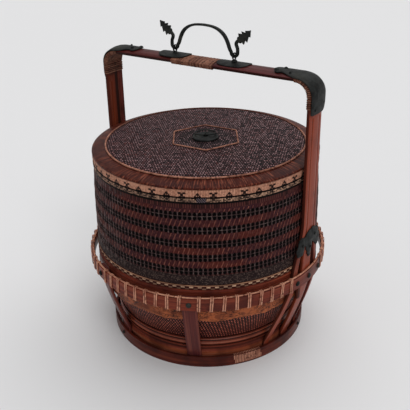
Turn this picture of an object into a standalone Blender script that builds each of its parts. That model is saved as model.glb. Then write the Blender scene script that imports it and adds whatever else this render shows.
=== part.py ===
"""A tiered bamboo food basket in a carrying stand.

A woven drum with a lift-off lid sits on a bowl-shaped lower tier. The lower tier is fixed in a
stand of hoops and straps. A wide split culm, bent twice, makes the handle: its two posts are
kerfed into tongues that run down to the foot hoop. An iron bail swings in two eyes on the bar.

Metres, +Z up. The origin is on the floor, at the middle of the foot hoop. The bar runs along X.
"""

import math

import bmesh
import bpy
from mathutils import Matrix

# Running and fitting gaps
CLEARANCE = 0.0003
RUNNING_GAP = 0.001
HOOP_FIT = 0.0005

# Round body
BODY_RADIUS = 0.1582
TIER_DRAW = 0.0032
BODY_WALL = 0.0038
MAIN_SEGMENTS = 36
INNER_SEGMENTS = 32

# Foot hoop
FOOT_HEIGHT = 0.0162
FOOT_WALL = 0.0043
FOOT_BINDING_FROM_DEG = -41.6
FOOT_BINDING_DEG = 17.0
FOOT_BINDING_LOOPS = 9
FOOT_BINDING_DIAMETER = 0.0028
FOOT_SCARF_STEPS = 6
BINDING_SEAT_SHARE = 0.55

# Base hoops inside the straps
BASE_INSET = 0.0240
BASE_WALL = 0.004
BASE_LIFT = 0.003
BASE_LOWER_HEIGHT = 0.0253
BASE_UPPER_HEIGHT = 0.0130

# Lower tier
BOWL_HEIGHT = 0.0682
BOWL_FOOT_STEP = 0.0016
BOWL_WALL = 0.0026
BOWL_OUTLINE_SHARES = (
    (0.0, 0.0), (0.13, 0.13), (0.31, 0.39), (0.48, 0.63), (0.63, 0.79), (0.78, 0.91), (1.0, 1.0),
)
LOWER_RIM_HEIGHT = 0.0157
FLOOR_THICKNESS = 0.003
COLLAR_WALL = 0.0032
COLLAR_RISE = 0.010
COLLAR_GRIP = 0.013

# Apron under the cradle hoop
APRON_WALL = 0.0022
APRON_DROP = 0.0270
APRON_WAVE = 0.0036
APRON_WAVES = 14
APRON_SEGMENTS = 42

# Cradle hoop, its edge strip and its ties
CRADLE_HEIGHT = 0.0172
CRADLE_WALL = 0.0042
EDGE_CANE_WIDTH = 0.0024
EDGE_CANE_HEIGHT = 0.0013
TIE_WIDTH = 0.0042
TIE_THICKNESS = 0.0009
TIE_PITCH_DEG = 5.6
TIE_MARGIN_DEG = 4.3
LEAST_TIES = 4

# Upper tier
TIER_FOOT_RIM_HEIGHT = 0.0072
TIER_BORDER_HEIGHT = 0.0067
TIER_WALL_HEIGHT = 0.1121
TIER_TOP_RIM_HEIGHT = 0.0058
TIER_TAPER_SHARES = ((0.0, 0.12), (0.2, 0.3), (0.5, 0.42), (0.72, 0.65), (0.88, 1.0), (1.0, 1.25))

# Lid
LID_BAND_HEIGHT = 0.0101
LID_BAND_WALL = 0.0028
SHOULDER_RISE = 0.0058
SHOULDER_WIDTH = 0.0188
SHOULDER_THICKNESS = 0.0028
LEDGE_WIDTH = 0.0050
PANEL_RISE = 0.0022
PANEL_ROLL = 0.0060
PANEL_THICKNESS = 0.0026
RIM_CANE_DIAMETER = 0.0024
HEXAGON_RADIUS = 0.0502
HEXAGON_CANE_DIAMETER = 0.0018
HEXAGON_TURN_DEG = 5.6

# Lid hardware
ROSETTE_RADIUS = 0.0178
ROSETTE_THICKNESS = 0.0014
ROSETTE_DISH = 0.0012
STAPLE_LOOP = 0.0027
STAPLE_LEG = 0.0022
STAPLE_ROD = 0.0016
STAPLE_CLINCH = 0.0050
DROP_RING_DEG = 126.0
DROP_RING_HALF_WIDTH = 0.0150
DROP_RING_LENGTH = 0.0200
DROP_RING_ROD = 0.0022

# Handle culm
HANDLE_HEIGHT = 0.3865
POST_WALL = 0.0046
CORNER_RADIUS = 0.024
CORNER_STEPS = 6
POST_ARC = 0.100
BAR_ARC = 0.040
KERF = 0.0005
SIDE_TONGUE = 0.0075
MIDDLE_TONGUE = 0.0174
KERF_TOP_DROP = 0.050
SPLAY_RISE = 0.072
RING_TONGUE_DEG = (-10.9, -1.8, 8.3)
FOOT_TONGUE_DEG = (-21.5, -4.8, 10.4)
RING_TONGUE_SHARES = (1.24, 1.3, 1.3)
FOOT_TONGUE_SHARES = (1.2, 0.86, 1.2)
PIN_SLOT_WIDTH = 0.0058
PIN_SLOT_LENGTH = 0.0036

# Straps
STRAP_DEG = (-63.4, -114.3)
STRAP_WIDTH = 0.022
STRAP_THICKNESS = 0.0038
STRAP_STEPS = 9
STRAP_BEND = 1.3
STRAP_LIFT = 0.002
WEDGE_GAP = 0.0018
WEDGE_DROP = 0.022

# Grip binding, bail plates, eyes and bail
GRIP_REACH = 0.043
GRIP_THICKNESS = 0.0010
EYE_SPACING = 0.093
PLATE_LENGTH = 0.046
PLATE_HALF_WIDTH = 0.0138
PLATE_THICKNESS = 0.0012
PLATE_OUTLINE_SHARES = ((-0.5, 0.45), (-0.42, 0.82), (-0.26, 1.0), (0.26, 1.0), (0.40, 0.80), (0.5, 0.42))
EYE_RISE = 0.0086
EYE_LOOP = 0.0042
EYE_ROD = 0.0024
EYE_LEG = 0.00135
EYE_CLINCH = 0.0100
BAIL_RISE = 0.0346
BAIL_ROD = 0.0044
LEAF_THICKNESS = 0.0026
BAIL_BEND = 0.0048
BAIL_ARCH_SHARES = ((0.0, 1.0), (0.27, 0.975), (0.49, 0.885), (0.67, 0.71), (0.78, 0.48), (0.85, 0.24))
BAIL_CURL_SHARES = (
    (1.10, 0.29), (1.06, 0.50), (1.05, 0.62), (1.10, 0.73), (1.20, 0.79), (1.34, 0.83), (1.50, 0.90),
)
BAIL_CURL_WIDTH_SHARES = (0.92, 0.95, 1.05, 1.35, 2.1, 2.5, 0.35)

# Corner mounts and their bindings
MOUNT_HALF_WIDTH = 0.0148
MOUNT_THICKNESS = 0.0018
MOUNT_BAR_REACH = 0.033
MOUNT_POST_REACH = 0.012
MOUNT_END_SHARES = (1.0, 0.88, 0.66, 0.33)
MOUNT_WIDTH_SHARES = (0.4, 0.8, 0.78, 0.72, 0.78, 0.9, 0.98, 1.0, 1.0, 1.0, 1.0, 1.0, 1.0, 1.0, 0.96, 0.72)
CORNER_LOOPS = 3
CORNER_BINDING_DIAMETER = 0.0024
CORNER_BINDING_PITCH = 0.0040
CORNER_BINDING_DROP = 0.0020

# Cloud mounts
CLOUD_LIFT = 0.018
CLOUD_HEIGHT = 0.038
CLOUD_HALF_WIDTH = 0.0175
CLOUD_THICKNESS = 0.0016
CLOUD_COLUMN_SHARES = (-1.0, -0.72, -0.42, -0.14, 0.14, 0.42, 0.72, 1.0)
CLOUD_ROW_SHARES = (1.0, 0.76, 0.54, 0.34, 0.17, 0.0)
CLOUD_CELLS = ("0011100", "0111110", "1111111", "1101011", "0001000")

# Nails
NAIL_RADIUS = 0.0030
NAIL_RISE = 0.0022
NAIL_SIDES = 6
PIN_LOOP_STEPS = 11

# Shading
SHARP_ANGLE = math.radians(38)

# Heights that follow
BASE_LOWER_TOP = BASE_LIFT + BASE_LOWER_HEIGHT
BASE_UPPER_TOP = BASE_LOWER_TOP + CLEARANCE + BASE_UPPER_HEIGHT
BOWL_Z = BASE_UPPER_TOP + CLEARANCE
BOWL_TOP = BOWL_Z + BOWL_HEIGHT
LOWER_RIM_Z = BOWL_TOP + CLEARANCE
LOWER_RIM_TOP = LOWER_RIM_Z + LOWER_RIM_HEIGHT
CRADLE_TOP = LOWER_RIM_TOP
CRADLE_Z = CRADLE_TOP - CRADLE_HEIGHT
NAIL_Z = CRADLE_Z + CRADLE_HEIGHT / 2
TIER_Z = LOWER_RIM_TOP + CLEARANCE
TIER_BORDER_Z = TIER_Z + TIER_FOOT_RIM_HEIGHT + CLEARANCE
TIER_WALL_Z = TIER_BORDER_Z + TIER_BORDER_HEIGHT + CLEARANCE
TIER_TOP_RIM_Z = TIER_WALL_Z + TIER_WALL_HEIGHT + CLEARANCE
TIER_TOP = TIER_TOP_RIM_Z + TIER_TOP_RIM_HEIGHT
LID_Z = TIER_TOP + CLEARANCE
LID_BAND_TOP = LID_Z + LID_BAND_HEIGHT
SHOULDER_Z = LID_BAND_TOP + CLEARANCE
SHOULDER_TOP = SHOULDER_Z + SHOULDER_RISE
PANEL_TOP = SHOULDER_TOP + PANEL_RISE
ROSETTE_Z = PANEL_TOP + CLEARANCE
ROSETTE_TOP = ROSETTE_Z + ROSETTE_THICKNESS + ROSETTE_DISH
DROP_RING_Z = ROSETTE_TOP + CLEARANCE + DROP_RING_ROD / 2
KERF_TOP = HANDLE_HEIGHT - KERF_TOP_DROP
SPLAY_TOP = CRADLE_TOP + SPLAY_RISE
EYE_Z = HANDLE_HEIGHT + EYE_RISE

# Radii that follow
BODY_INNER = BODY_RADIUS - BODY_WALL
LID_RADIUS = BODY_RADIUS - TIER_DRAW
SHOULDER_INNER_RADIUS = LID_RADIUS - SHOULDER_WIDTH
BASE_RADIUS = BODY_RADIUS - BASE_INSET
BOWL_FOOT_RADIUS = BASE_RADIUS - BOWL_FOOT_STEP
COLLAR_RADIUS = BODY_INNER - 2 * CLEARANCE
TIER_TOP_RADIUS = BODY_RADIUS - (BODY_RADIUS - LID_RADIUS) * TIER_TAPER_SHARES[-1][1]
TOP_COLLAR_RADIUS = TIER_TOP_RADIUS - BODY_WALL - 2 * CLEARANCE
POST_OUTER = BODY_RADIUS + RUNNING_GAP + POST_WALL
STRAP_RING_RADIUS = POST_OUTER - STRAP_THICKNESS / 2
BOWL_TOP_RADIUS = BODY_RADIUS + RUNNING_GAP - APRON_WALL - 4 * CLEARANCE
STRAP_FOOT_RADIUS = BASE_RADIUS + CLEARANCE + STRAP_THICKNESS / 2
CRADLE_BORE = POST_OUTER + HOOP_FIT
CRADLE_RADIUS = CRADLE_BORE + CRADLE_WALL
FOOT_BORE = STRAP_FOOT_RADIUS + STRAP_THICKNESS / 2 + HOOP_FIT
FOOT_RADIUS = FOOT_BORE + FOOT_WALL
HALF_CULM = MIDDLE_TONGUE / 2 + KERF + SIDE_TONGUE
EYE_X = EYE_SPACING / 2
GRIP_END = EYE_X - PLATE_LENGTH / 2 - CLEARANCE
CORNER_Z = HANDLE_HEIGHT - CORNER_RADIUS
CORNER_X = POST_OUTER - CORNER_RADIUS


def clear_scene():
    for item in list(bpy.data.objects):
        bpy.data.objects.remove(item)


def material(name, colour, roughness, metallic=0.0):
    made = bpy.data.materials.new(name)
    made.use_nodes = True
    shader = made.node_tree.nodes["Principled BSDF"]
    shader.inputs["Base Color"].default_value = (*colour, 1.0)
    shader.inputs["Roughness"].default_value = roughness
    shader.inputs["Metallic"].default_value = metallic
    return made


def carrier(name, place):
    """An empty on a moving body's joint axis, which carries that body's pieces."""
    empty = bpy.data.objects.new(name, None)
    empty.location = place
    bpy.context.scene.collection.objects.link(empty)
    return empty


def add_piece(name, work, finish, parent=None):
    """An object from a shape's mesh, with its faces out and its round faces smooth."""
    if parent:
        bmesh.ops.translate(work, vec=-parent.location, verts=work.verts)
    bmesh.ops.recalc_face_normals(work, faces=work.faces)
    mesh = bpy.data.meshes.new(name)
    work.to_mesh(mesh)
    work.free()
    mesh.materials.append(finish)
    mesh.shade_smooth()
    mesh.set_sharp_from_angle(angle=SHARP_ANGLE)
    made = bpy.data.objects.new(name, mesh)
    made.parent = parent
    bpy.context.scene.collection.objects.link(made)
    return made


def add_wound_tube(name, path, diameter, finish):
    """One unbroken tube along a path, as a bevelled curve with filled ends."""
    curve = bpy.data.curves.new(name, "CURVE")
    curve.dimensions = "3D"
    curve.bevel_depth = diameter / 2
    curve.bevel_resolution = 1
    curve.use_fill_caps = True
    spline = curve.splines.new("POLY")
    spline.points.add(len(path) - 1)
    for slot, place in zip(spline.points, path):
        slot.co = (*place, 1.0)
    curve.materials.append(finish)
    made = bpy.data.objects.new(name, curve)
    bpy.context.scene.collection.objects.link(made)
    return made


def polar(radius, degrees, z):
    turn = math.radians(degrees)
    return (radius * math.cos(turn), radius * math.sin(turn), z)


def half_turned(work):
    """The same shape, turned half a turn about Z."""
    bmesh.ops.rotate(work, cent=(0.0, 0.0, 0.0), matrix=Matrix.Rotation(math.pi, 3, "Z"), verts=work.verts)
    return work


def shape_of(points, faces):
    """A mesh from points and the faces between them."""
    work = bmesh.new()
    corners = [work.verts.new(point) for point in points]
    for face in faces:
        work.faces.new([corners[k] for k in face])
    return work


def mix(first, second, share):
    return first + (second - first) * share


def smooth(share):
    held = min(max(share, 0.0), 1.0)
    return held * held * (3 - 2 * held)


def bore(radius, segments=MAIN_SEGMENTS):
    """The corner radius of a faceted bore whose flats stay outside the given radius."""
    return radius / math.cos(math.pi / segments)


def turned(outline, segments=MAIN_SEGMENTS):
    """A closed outline of (radius, z), spun about Z."""
    work = bmesh.new()
    corners = [work.verts.new((radius, 0.0, z)) for radius, z in outline]
    edges = [work.edges.new((corner, corners[k - 1])) for k, corner in enumerate(corners)]
    bmesh.ops.spin(
        work, geom=corners + edges, cent=(0.0, 0.0, 0.0), axis=(0.0, 0.0, 1.0),
        angle=2 * math.pi, steps=segments, use_merge=True,
    )
    return work


def plate(outer, inner, filled, closed=False):
    """A sheet of cells between two grids of points. Cells that aren't filled are holes."""
    rows, columns = len(outer), len(outer[0])
    points, faces, index = [], [], {}

    def corner(side, row, column):
        key = (side, row, column % columns)
        if key not in index:
            index[key] = len(points)
            points.append((outer, inner)[side][row][column % columns])
        return index[key]

    cells = columns if closed else columns - 1

    def is_filled(row, column):
        if closed:
            column %= cells
        return 0 <= row < rows - 1 and 0 <= column < cells and filled(row, column)

    for row in range(rows - 1):
        for column in range(cells):
            if not is_filled(row, column):
                continue
            loop = ((row, column), (row, column + 1), (row + 1, column + 1), (row + 1, column))
            faces.append(tuple(corner(0, *place) for place in loop))
            faces.append(tuple(corner(1, *place) for place in reversed(loop)))
            beyond = ((row - 1, column), (row, column + 1), (row + 1, column), (row, column - 1))
            for k, cell in enumerate(beyond):
                if is_filled(*cell):
                    continue
                first, second = loop[k], loop[(k + 1) % 4]
                faces.append((corner(0, *second), corner(0, *first), corner(1, *first), corner(1, *second)))
    return shape_of(points, faces)


def everywhere(row, column):
    return True


def prism(front, back):
    """A solid between two like outlines."""
    count = len(front)
    faces = [tuple(range(count)), tuple(reversed(range(count, 2 * count)))]
    for k in range(count):
        near = (k + 1) % count
        faces.append((near, k, count + k, count + near))
    return shape_of(list(front) + list(back), faces)


def flat_rod(path, half_widths, half_depths, place, sides=8, closed=False):
    """A rod along a flat path of (u, v). place(u, v, w) gives the point, w square to the path's plane."""
    count = len(path)
    points, faces = [], []
    for k in range(count):
        before = path[k - 1] if closed or k > 0 else path[0]
        after = path[(k + 1) % count] if closed or k < count - 1 else path[-1]
        run = math.hypot(after[0] - before[0], after[1] - before[1])
        normal = (-(after[1] - before[1]) / run, (after[0] - before[0]) / run)
        for side in range(sides):
            turn = 2 * math.pi * (side + 0.5) / sides
            out = half_widths[k] * math.cos(turn)
            deep = half_depths[k] * math.sin(turn)
            points.append(place(path[k][0] + normal[0] * out, path[k][1] + normal[1] * out, deep))
    for k in range(count if closed else count - 1):
        after = (k + 1) % count
        for side in range(sides):
            near = (side + 1) % sides
            faces.append((k * sides + side, k * sides + near, after * sides + near, after * sides + side))
    if not closed:
        faces.append(tuple(range(sides)))
        faces.append(tuple(reversed(range((count - 1) * sides, count * sides))))
    return shape_of(points, faces)


def nail_head(radius, degrees, z):
    """A low forged head on an upright round wall."""
    work = bmesh.new()
    tilt = Matrix.Rotation(math.radians(degrees), 4, "Z") @ Matrix.Rotation(math.pi / 2, 4, "Y")
    place = Matrix.Translation(polar(radius + NAIL_RISE / 2, degrees, z)) @ tilt
    bmesh.ops.create_cone(
        work, cap_ends=True, segments=NAIL_SIDES, radius1=NAIL_RADIUS,
        radius2=NAIL_RADIUS / 2, depth=NAIL_RISE, matrix=place,
    )
    return work


def rounded_rectangle(half_width, half_height, corner, long_side, short_side):
    """Points round a rounded rectangle, in order, starting on its right side."""
    points = []
    for quarter in range(4):
        turn = quarter * math.pi / 2
        upright = quarter % 2 == 0
        along = (half_height if upright else half_width) - corner
        away = half_width if upright else half_height
        steps = short_side if upright else long_side
        for step in range(steps):
            slide = mix(-along, along, (step + 1) / (steps + 1))
            points.append((
                away * math.cos(turn) - slide * math.sin(turn),
                away * math.sin(turn) + slide * math.cos(turn),
            ))
        for step in range(3):
            bend = turn + math.pi / 4 * step
            u = (away - corner) * math.cos(turn) - along * math.sin(turn) + corner * math.cos(bend)
            v = (away - corner) * math.sin(turn) + along * math.cos(turn) + corner * math.sin(bend)
            points.append((u, v))
    return points


def print_least_gap(name, path, loop, diameter):
    """Measures how near a wound tube comes to its own other turns."""
    least = min(
        math.dist(first, second)
        for k, first in enumerate(path)
        for second in path[k + loop // 2:]
    )
    print(f"{name}: least gap to itself {1000 * (least - diameter):.2f} mm")


def strap_radius(z, ring_radius, foot_radius):
    """How far out a strap's middle runs at a height: straight at both ends, bent in between."""
    low = FOOT_HEIGHT + STRAP_THICKNESS
    share = min(max((CRADLE_Z - z) / (CRADLE_Z - low), 0.0), 1.0)
    return mix(ring_radius, foot_radius, share ** STRAP_BEND)


def strap_heights(top):
    low = FOOT_HEIGHT + STRAP_THICKNESS
    bend = [mix(CRADLE_Z, low, step / STRAP_STEPS) for step in range(STRAP_STEPS + 1)]
    return [top] + bend + [STRAP_LIFT]


def strap_sides(z, thickness, ring_radius, foot_radius):
    """(radius, z) of a strap's outer and inner face at a height, square to its run."""
    step = thickness / 10
    rise = strap_radius(z + step, ring_radius, foot_radius) - strap_radius(z - step, ring_radius, foot_radius)
    tilt = math.atan2(rise, 2 * step)
    middle = strap_radius(z, ring_radius, foot_radius)
    out, down = thickness / 2 * math.cos(tilt), thickness / 2 * math.sin(tilt)
    return (middle + out, z - down), (middle - out, z + down)


def single_strap(degrees):
    outer, inner = [], []
    for z in strap_heights(CRADLE_TOP):
        faces = strap_sides(z, STRAP_THICKNESS, STRAP_RING_RADIUS, STRAP_FOOT_RADIUS)
        for grid, (radius, height) in zip((outer, inner), faces):
            half = math.degrees(STRAP_WIDTH / 2 / radius)
            grid.append([polar(radius, degrees + half * share, height) for share in (-1.0, 0.0, 1.0)])
    return plate(outer, inner, everywhere)


def tongue_centre(which, z):
    """Degrees from the post's middle, and half width, of one tongue at a height."""
    straight = (-(MIDDLE_TONGUE + SIDE_TONGUE) / 2 - KERF, 0.0, (MIDDLE_TONGUE + SIDE_TONGUE) / 2 + KERF)[which]
    width = (SIDE_TONGUE, MIDDLE_TONGUE, SIDE_TONGUE)[which]
    degrees = math.degrees(straight / POST_OUTER)
    spread = smooth((SPLAY_TOP - z) / (SPLAY_TOP - NAIL_Z))
    degrees = mix(degrees, RING_TONGUE_DEG[which], spread)
    width *= mix(1.0, RING_TONGUE_SHARES[which], spread)
    down = min(max((NAIL_Z - z) / NAIL_Z, 0.0), 1.0)
    degrees = mix(degrees, FOOT_TONGUE_DEG[which], down)
    width *= mix(1.0, FOOT_TONGUE_SHARES[which] / RING_TONGUE_SHARES[which], down)
    return degrees, width / 2


def culm_columns():
    """Places across the culm, along its outer face: (tongue, share of the tongue's half width or None, length)."""
    middle = MIDDLE_TONGUE / 2
    slot = PIN_SLOT_WIDTH / 2
    return (
        (0, -1.0, -HALF_CULM), (0, 1.0, -middle - KERF), (1, -1.0, -middle), (1, -slot / middle, -slot),
        (1, slot / middle, slot), (1, 1.0, middle), (2, -1.0, middle + KERF), (2, 1.0, HALF_CULM),
    )


def section_point(place, normal, arc, across, depth):
    """A point of the culm's arched section. across runs along the outer face, depth goes in."""
    turn = across / arc
    out = (arc - depth) * math.cos(turn) - arc
    return (place[0] + normal[0] * out, (arc - depth) * math.sin(turn), place[1] + normal[1] * out)


def post_arc(z):
    return 1 / mix(1 / POST_OUTER, 1 / POST_ARC, smooth((z - SPLAY_TOP) / (KERF_TOP - SPLAY_TOP)))


def upper_stations():
    """(place, normal, arc) up the right post from the splay, round the corner and along half the bar."""
    stations = []
    for share in (0.0, 0.25, 0.5, 0.75, 1.0):
        z = mix(SPLAY_TOP, KERF_TOP, share)
        stations.append(((POST_OUTER, z), (1.0, 0.0), post_arc(z)))
    for step in range(CORNER_STEPS + 1):
        turn = math.pi / 2 * step / CORNER_STEPS
        out = (math.cos(turn), math.sin(turn))
        arc = 1 / mix(1 / POST_ARC, 1 / BAR_ARC, smooth(step / CORNER_STEPS))
        stations.append(((CORNER_X + CORNER_RADIUS * out[0], CORNER_Z + CORNER_RADIUS * out[1]), out, arc))
    for x in (EYE_X + PIN_SLOT_LENGTH / 2, EYE_X - PIN_SLOT_LENGTH / 2, EYE_X / 2):
        stations.append(((x, HANDLE_HEIGHT), (0.0, 1.0), BAR_ARC))
    return stations


def lower_row(z):
    """Outer and inner points of the splayed tongues at a height below the splay."""
    thickness = mix(STRAP_THICKNESS, POST_WALL, smooth((z - BASE_UPPER_TOP) / (CRADLE_Z - BASE_UPPER_TOP)))
    ring = POST_OUTER - thickness / 2
    foot = STRAP_FOOT_RADIUS + (thickness - STRAP_THICKNESS) / 2
    rows = []
    for radius, height in strap_sides(z, thickness, ring, foot):
        row = []
        for which, share, _ in culm_columns():
            degrees, half = tongue_centre(which, z)
            row.append(polar(radius, degrees + share * math.degrees(half / radius), height))
        rows.append(row)
    return rows


def handle_culm():
    lower = [z for z in strap_heights(mix(CRADLE_TOP, SPLAY_TOP, 0.06))]
    heights = list(reversed(lower)) + [mix(CRADLE_TOP, SPLAY_TOP, share) for share in (0.28, 0.52, 0.76)]
    outer, inner = [], []
    for z in heights:
        row = lower_row(z)
        outer.append(row[0])
        inner.append(row[1])
    for place, normal, arc in upper_stations():
        for grid, depth in ((outer, 0.0), (inner, POST_WALL)):
            grid.append([section_point(place, normal, arc, length, depth) for _, _, length in culm_columns()])
    split = len(heights) + 4
    slot = len(heights) + 5 + CORNER_STEPS + 1
    for grid in (outer, inner):
        half = [[(-x, -y, z) for x, y, z in reversed(row)] for row in reversed(grid)]
        grid.extend(half)
    last = len(outer) - 2

    def filled(row, column):
        row = min(row, last - row)
        if column in (1, 5):
            return row >= split
        return not (column == 3 and row == slot)

    return plate(outer, inner, filled)


def bound_section():
    """(inner radius, outer radius, low, high) of the foot hoop where it is thinned for its binding."""
    inset = FOOT_BINDING_DIAMETER * BINDING_SEAT_SHARE
    low = FOOT_BINDING_DIAMETER + 3 * CLEARANCE
    return bore(FOOT_BORE), FOOT_RADIUS - inset, low, FOOT_HEIGHT - inset


def foot_hoop():
    """The foot hoop, thinned where its lapped ends are bound."""
    start, span = FOOT_BINDING_FROM_DEG, FOOT_BINDING_DEG
    pitch = 360.0 / MAIN_SEGMENTS
    edge = math.degrees(CLEARANCE / FOOT_RADIUS)
    plain, thinned = (bore(FOOT_BORE), FOOT_RADIUS, 0.0, FOOT_HEIGHT), bound_section()
    sections = [(start - edge, plain)]
    sections += [(start + span * step / FOOT_SCARF_STEPS, thinned) for step in range(FOOT_SCARF_STEPS + 1)]
    sections.append((start + span + edge, plain))
    steps = round((360.0 - span) / pitch)
    sections += [(mix(start + span, start + 360.0, step / steps), plain) for step in range(1, steps)]
    points = []
    for degrees, (inside, outside, low, high) in sections:
        for radius, z in ((outside, low), (outside, high), (inside, high), (inside, low)):
            points.append(polar(radius, degrees, z))
    faces = []
    for k in range(len(sections)):
        after = (k + 1) % len(sections)
        for side in range(4):
            near = (side + 1) % 4
            faces.append((4 * k + side, 4 * after + side, 4 * after + near, 4 * k + near))
    return shape_of(points, faces)


def foot_binding_path():
    inside, outside, low, high = bound_section()
    away = CLEARANCE + FOOT_BINDING_DIAMETER / 2
    loop = rounded_rectangle((outside - inside) / 2 + away, (high - low) / 2 + away, away, 1, 4)
    middle, height = (inside + outside) / 2, (low + high) / 2
    edge = math.degrees(FOOT_BINDING_DIAMETER / 2 / FOOT_RADIUS)
    start = FOOT_BINDING_FROM_DEG + edge
    span = FOOT_BINDING_DEG - 2 * edge
    total = FOOT_BINDING_LOOPS * len(loop)
    path = []
    for k in range(total + 1):
        out, up = loop[k % len(loop)]
        path.append(polar(middle - out, start + span * k / total, height - up))
    print_least_gap("foot_binding", path, len(loop), FOOT_BINDING_DIAMETER)
    return path


def corner_binding_path(mirrored):
    away = CLEARANCE + CORNER_BINDING_DIAMETER / 2
    loop = rounded_rectangle(POST_WALL / 2 + away, HALF_CULM + away, away, 0, 5)
    total = CORNER_LOOPS * len(loop)
    top = CORNER_Z - CORNER_BINDING_DROP
    path = []
    for k in range(total + 1):
        out, across = loop[k % len(loop)]
        z = top - CORNER_BINDING_PITCH * k / len(loop)
        x, y, _ = section_point((POST_OUTER, z), (1.0, 0.0), POST_ARC, across, POST_WALL / 2 - out)
        path.append((-x, -y, z) if mirrored else (x, y, z))
    print_least_gap("corner_binding", path, len(loop), CORNER_BINDING_DIAMETER)
    return path


def mount_stations():
    """(place, normal, arc, lift off the culm) along a corner mount, from the bar's end to the post's end."""
    seat = 2 * CLEARANCE
    over = CORNER_BINDING_DIAMETER + seat + CLEARANCE
    stations = []
    for share in MOUNT_END_SHARES:
        stations.append(((CORNER_X - MOUNT_BAR_REACH * share, HANDLE_HEIGHT), (0.0, 1.0), BAR_ARC, seat))
    for step in range(CORNER_STEPS + 1):
        turn = math.pi / 2 * (1 - step / CORNER_STEPS)
        out = (math.cos(turn), math.sin(turn))
        arc = 1 / mix(1 / BAR_ARC, 1 / POST_ARC, smooth(step / CORNER_STEPS))
        place = (CORNER_X + CORNER_RADIUS * out[0], CORNER_Z + CORNER_RADIUS * out[1])
        stations.append((place, out, arc, mix(seat, over, smooth(step / CORNER_STEPS))))
    bound = CORNER_BINDING_DROP + CORNER_LOOPS * CORNER_BINDING_PITCH + CORNER_BINDING_DIAMETER
    low = bound + MOUNT_POST_REACH
    for share in (0.0, 0.25, 0.6, 0.85, 1.0):
        lift = over if share == 0.0 else seat
        stations.append(((POST_OUTER, CORNER_Z - mix(bound, low, share)), (1.0, 0.0), POST_ARC, lift))
    return stations


def corner_mount():
    outer, inner = [], []
    for (place, normal, arc, lift), share in zip(mount_stations(), MOUNT_WIDTH_SHARES):
        half = MOUNT_HALF_WIDTH * share
        across = (-half, -half / 3, half / 3, half)
        inner.append([section_point(place, normal, arc, y, -lift) for y in across])
        outer.append([section_point(place, normal, arc, y, -lift - MOUNT_THICKNESS) for y in across])
    return plate(outer, inner, everywhere)


def bar_plate(x_places, half_widths, lift, thickness, slot_at=None):
    """A sheet that lies over the bar's arched top, with a slot for an eye's legs."""
    outer, inner = [], []
    slot = PIN_SLOT_WIDTH / 2
    for x, half in zip(x_places, half_widths):
        across = (-half, -half / 2 - slot / 2, -slot, slot, half / 2 + slot / 2, half)
        for grid, depth in ((outer, -lift - thickness), (inner, -lift)):
            grid.append([section_point((x, HANDLE_HEIGHT), (0.0, 1.0), BAR_ARC, y, depth) for y in across])

    def filled(row, column):
        return not (column == 2 and row == slot_at)

    return plate(outer, inner, filled)


def bail_plate(side):
    """The iron plate under an eye. The left one lies over the end of the grip's binding."""
    lift = 2 * CLEARANCE + GRIP_THICKNESS if side < 0 else CLEARANCE
    places = [side * EYE_X + PLATE_LENGTH * share for share, _ in PLATE_OUTLINE_SHARES]
    halves = [PLATE_HALF_WIDTH * share for _, share in PLATE_OUTLINE_SHARES]
    places[3:3] = [side * EYE_X - PIN_SLOT_LENGTH / 2, side * EYE_X + PIN_SLOT_LENGTH / 2]
    halves[3:3] = [PLATE_HALF_WIDTH, PLATE_HALF_WIDTH]
    return bar_plate(places, halves, lift, PLATE_THICKNESS, 3)


def grip_binding():
    """A sleeve round the bar's arched section."""
    inside, outside = [], []
    reach = HALF_CULM + CLEARANCE
    turns = [reach * share for share in (-1.0, -0.6, -0.2, 0.2, 0.6, 1.0)]
    thick = GRIP_THICKNESS
    wide = [across * (1 + thick / reach) for across in turns]
    inner_loop = [(y, -CLEARANCE) for y in turns] + [(y, POST_WALL + CLEARANCE) for y in reversed(turns)]
    under = POST_WALL + CLEARANCE + thick
    outer_loop = [(y, -CLEARANCE - thick) for y in wide] + [(y, under) for y in reversed(wide)]
    for x in (-GRIP_REACH, GRIP_END):
        for grid, loop in ((inside, inner_loop), (outside, outer_loop)):
            grid.append([section_point((x, HANDLE_HEIGHT), (0.0, 1.0), BAR_ARC, y, depth) for y, depth in loop])
    return plate(outside, inside, everywhere, closed=True)


def pin_path(loop, leg, rod, top, clinch_z, clinch, arch):
    """A split pin, flat: clinched leg, loop, clinched leg. The legs' ends follow an arched underside."""
    neck = math.sqrt(loop * loop - leg * leg)
    bend = rod * 0.35
    sag = arch - math.sqrt(arch * arch - clinch * clinch) if arch else 0.0
    path = [(-clinch, clinch_z - sag), (-leg - bend, clinch_z), (-leg, clinch_z + bend)]
    first = math.atan2(-neck, -leg) % (2 * math.pi)
    last = math.atan2(-neck, leg)
    for step in range(PIN_LOOP_STEPS + 1):
        turn = mix(first, last, step / PIN_LOOP_STEPS)
        path.append((loop * math.cos(turn), top + loop * math.sin(turn)))
    path += [(-u, v) for u, v in reversed(path[:3])]
    return path


def split_pin(place, loop, leg, rod, top, clinch_z, clinch, arch=0.0):
    path = pin_path(loop, leg, rod, top, clinch_z, clinch, arch)
    halves = [rod / 2] * len(path)
    return flat_rod(path, halves, halves, place, sides=6)


def bail_eye(side):
    under = HANDLE_HEIGHT - POST_WALL - CLEARANCE
    return split_pin(
        lambda u, v, w: (side * EYE_X + w, u, v), EYE_LOOP, EYE_LEG, EYE_ROD, EYE_Z,
        under - EYE_ROD / 2, EYE_CLINCH, BAR_ARC - POST_WALL,
    )


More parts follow.
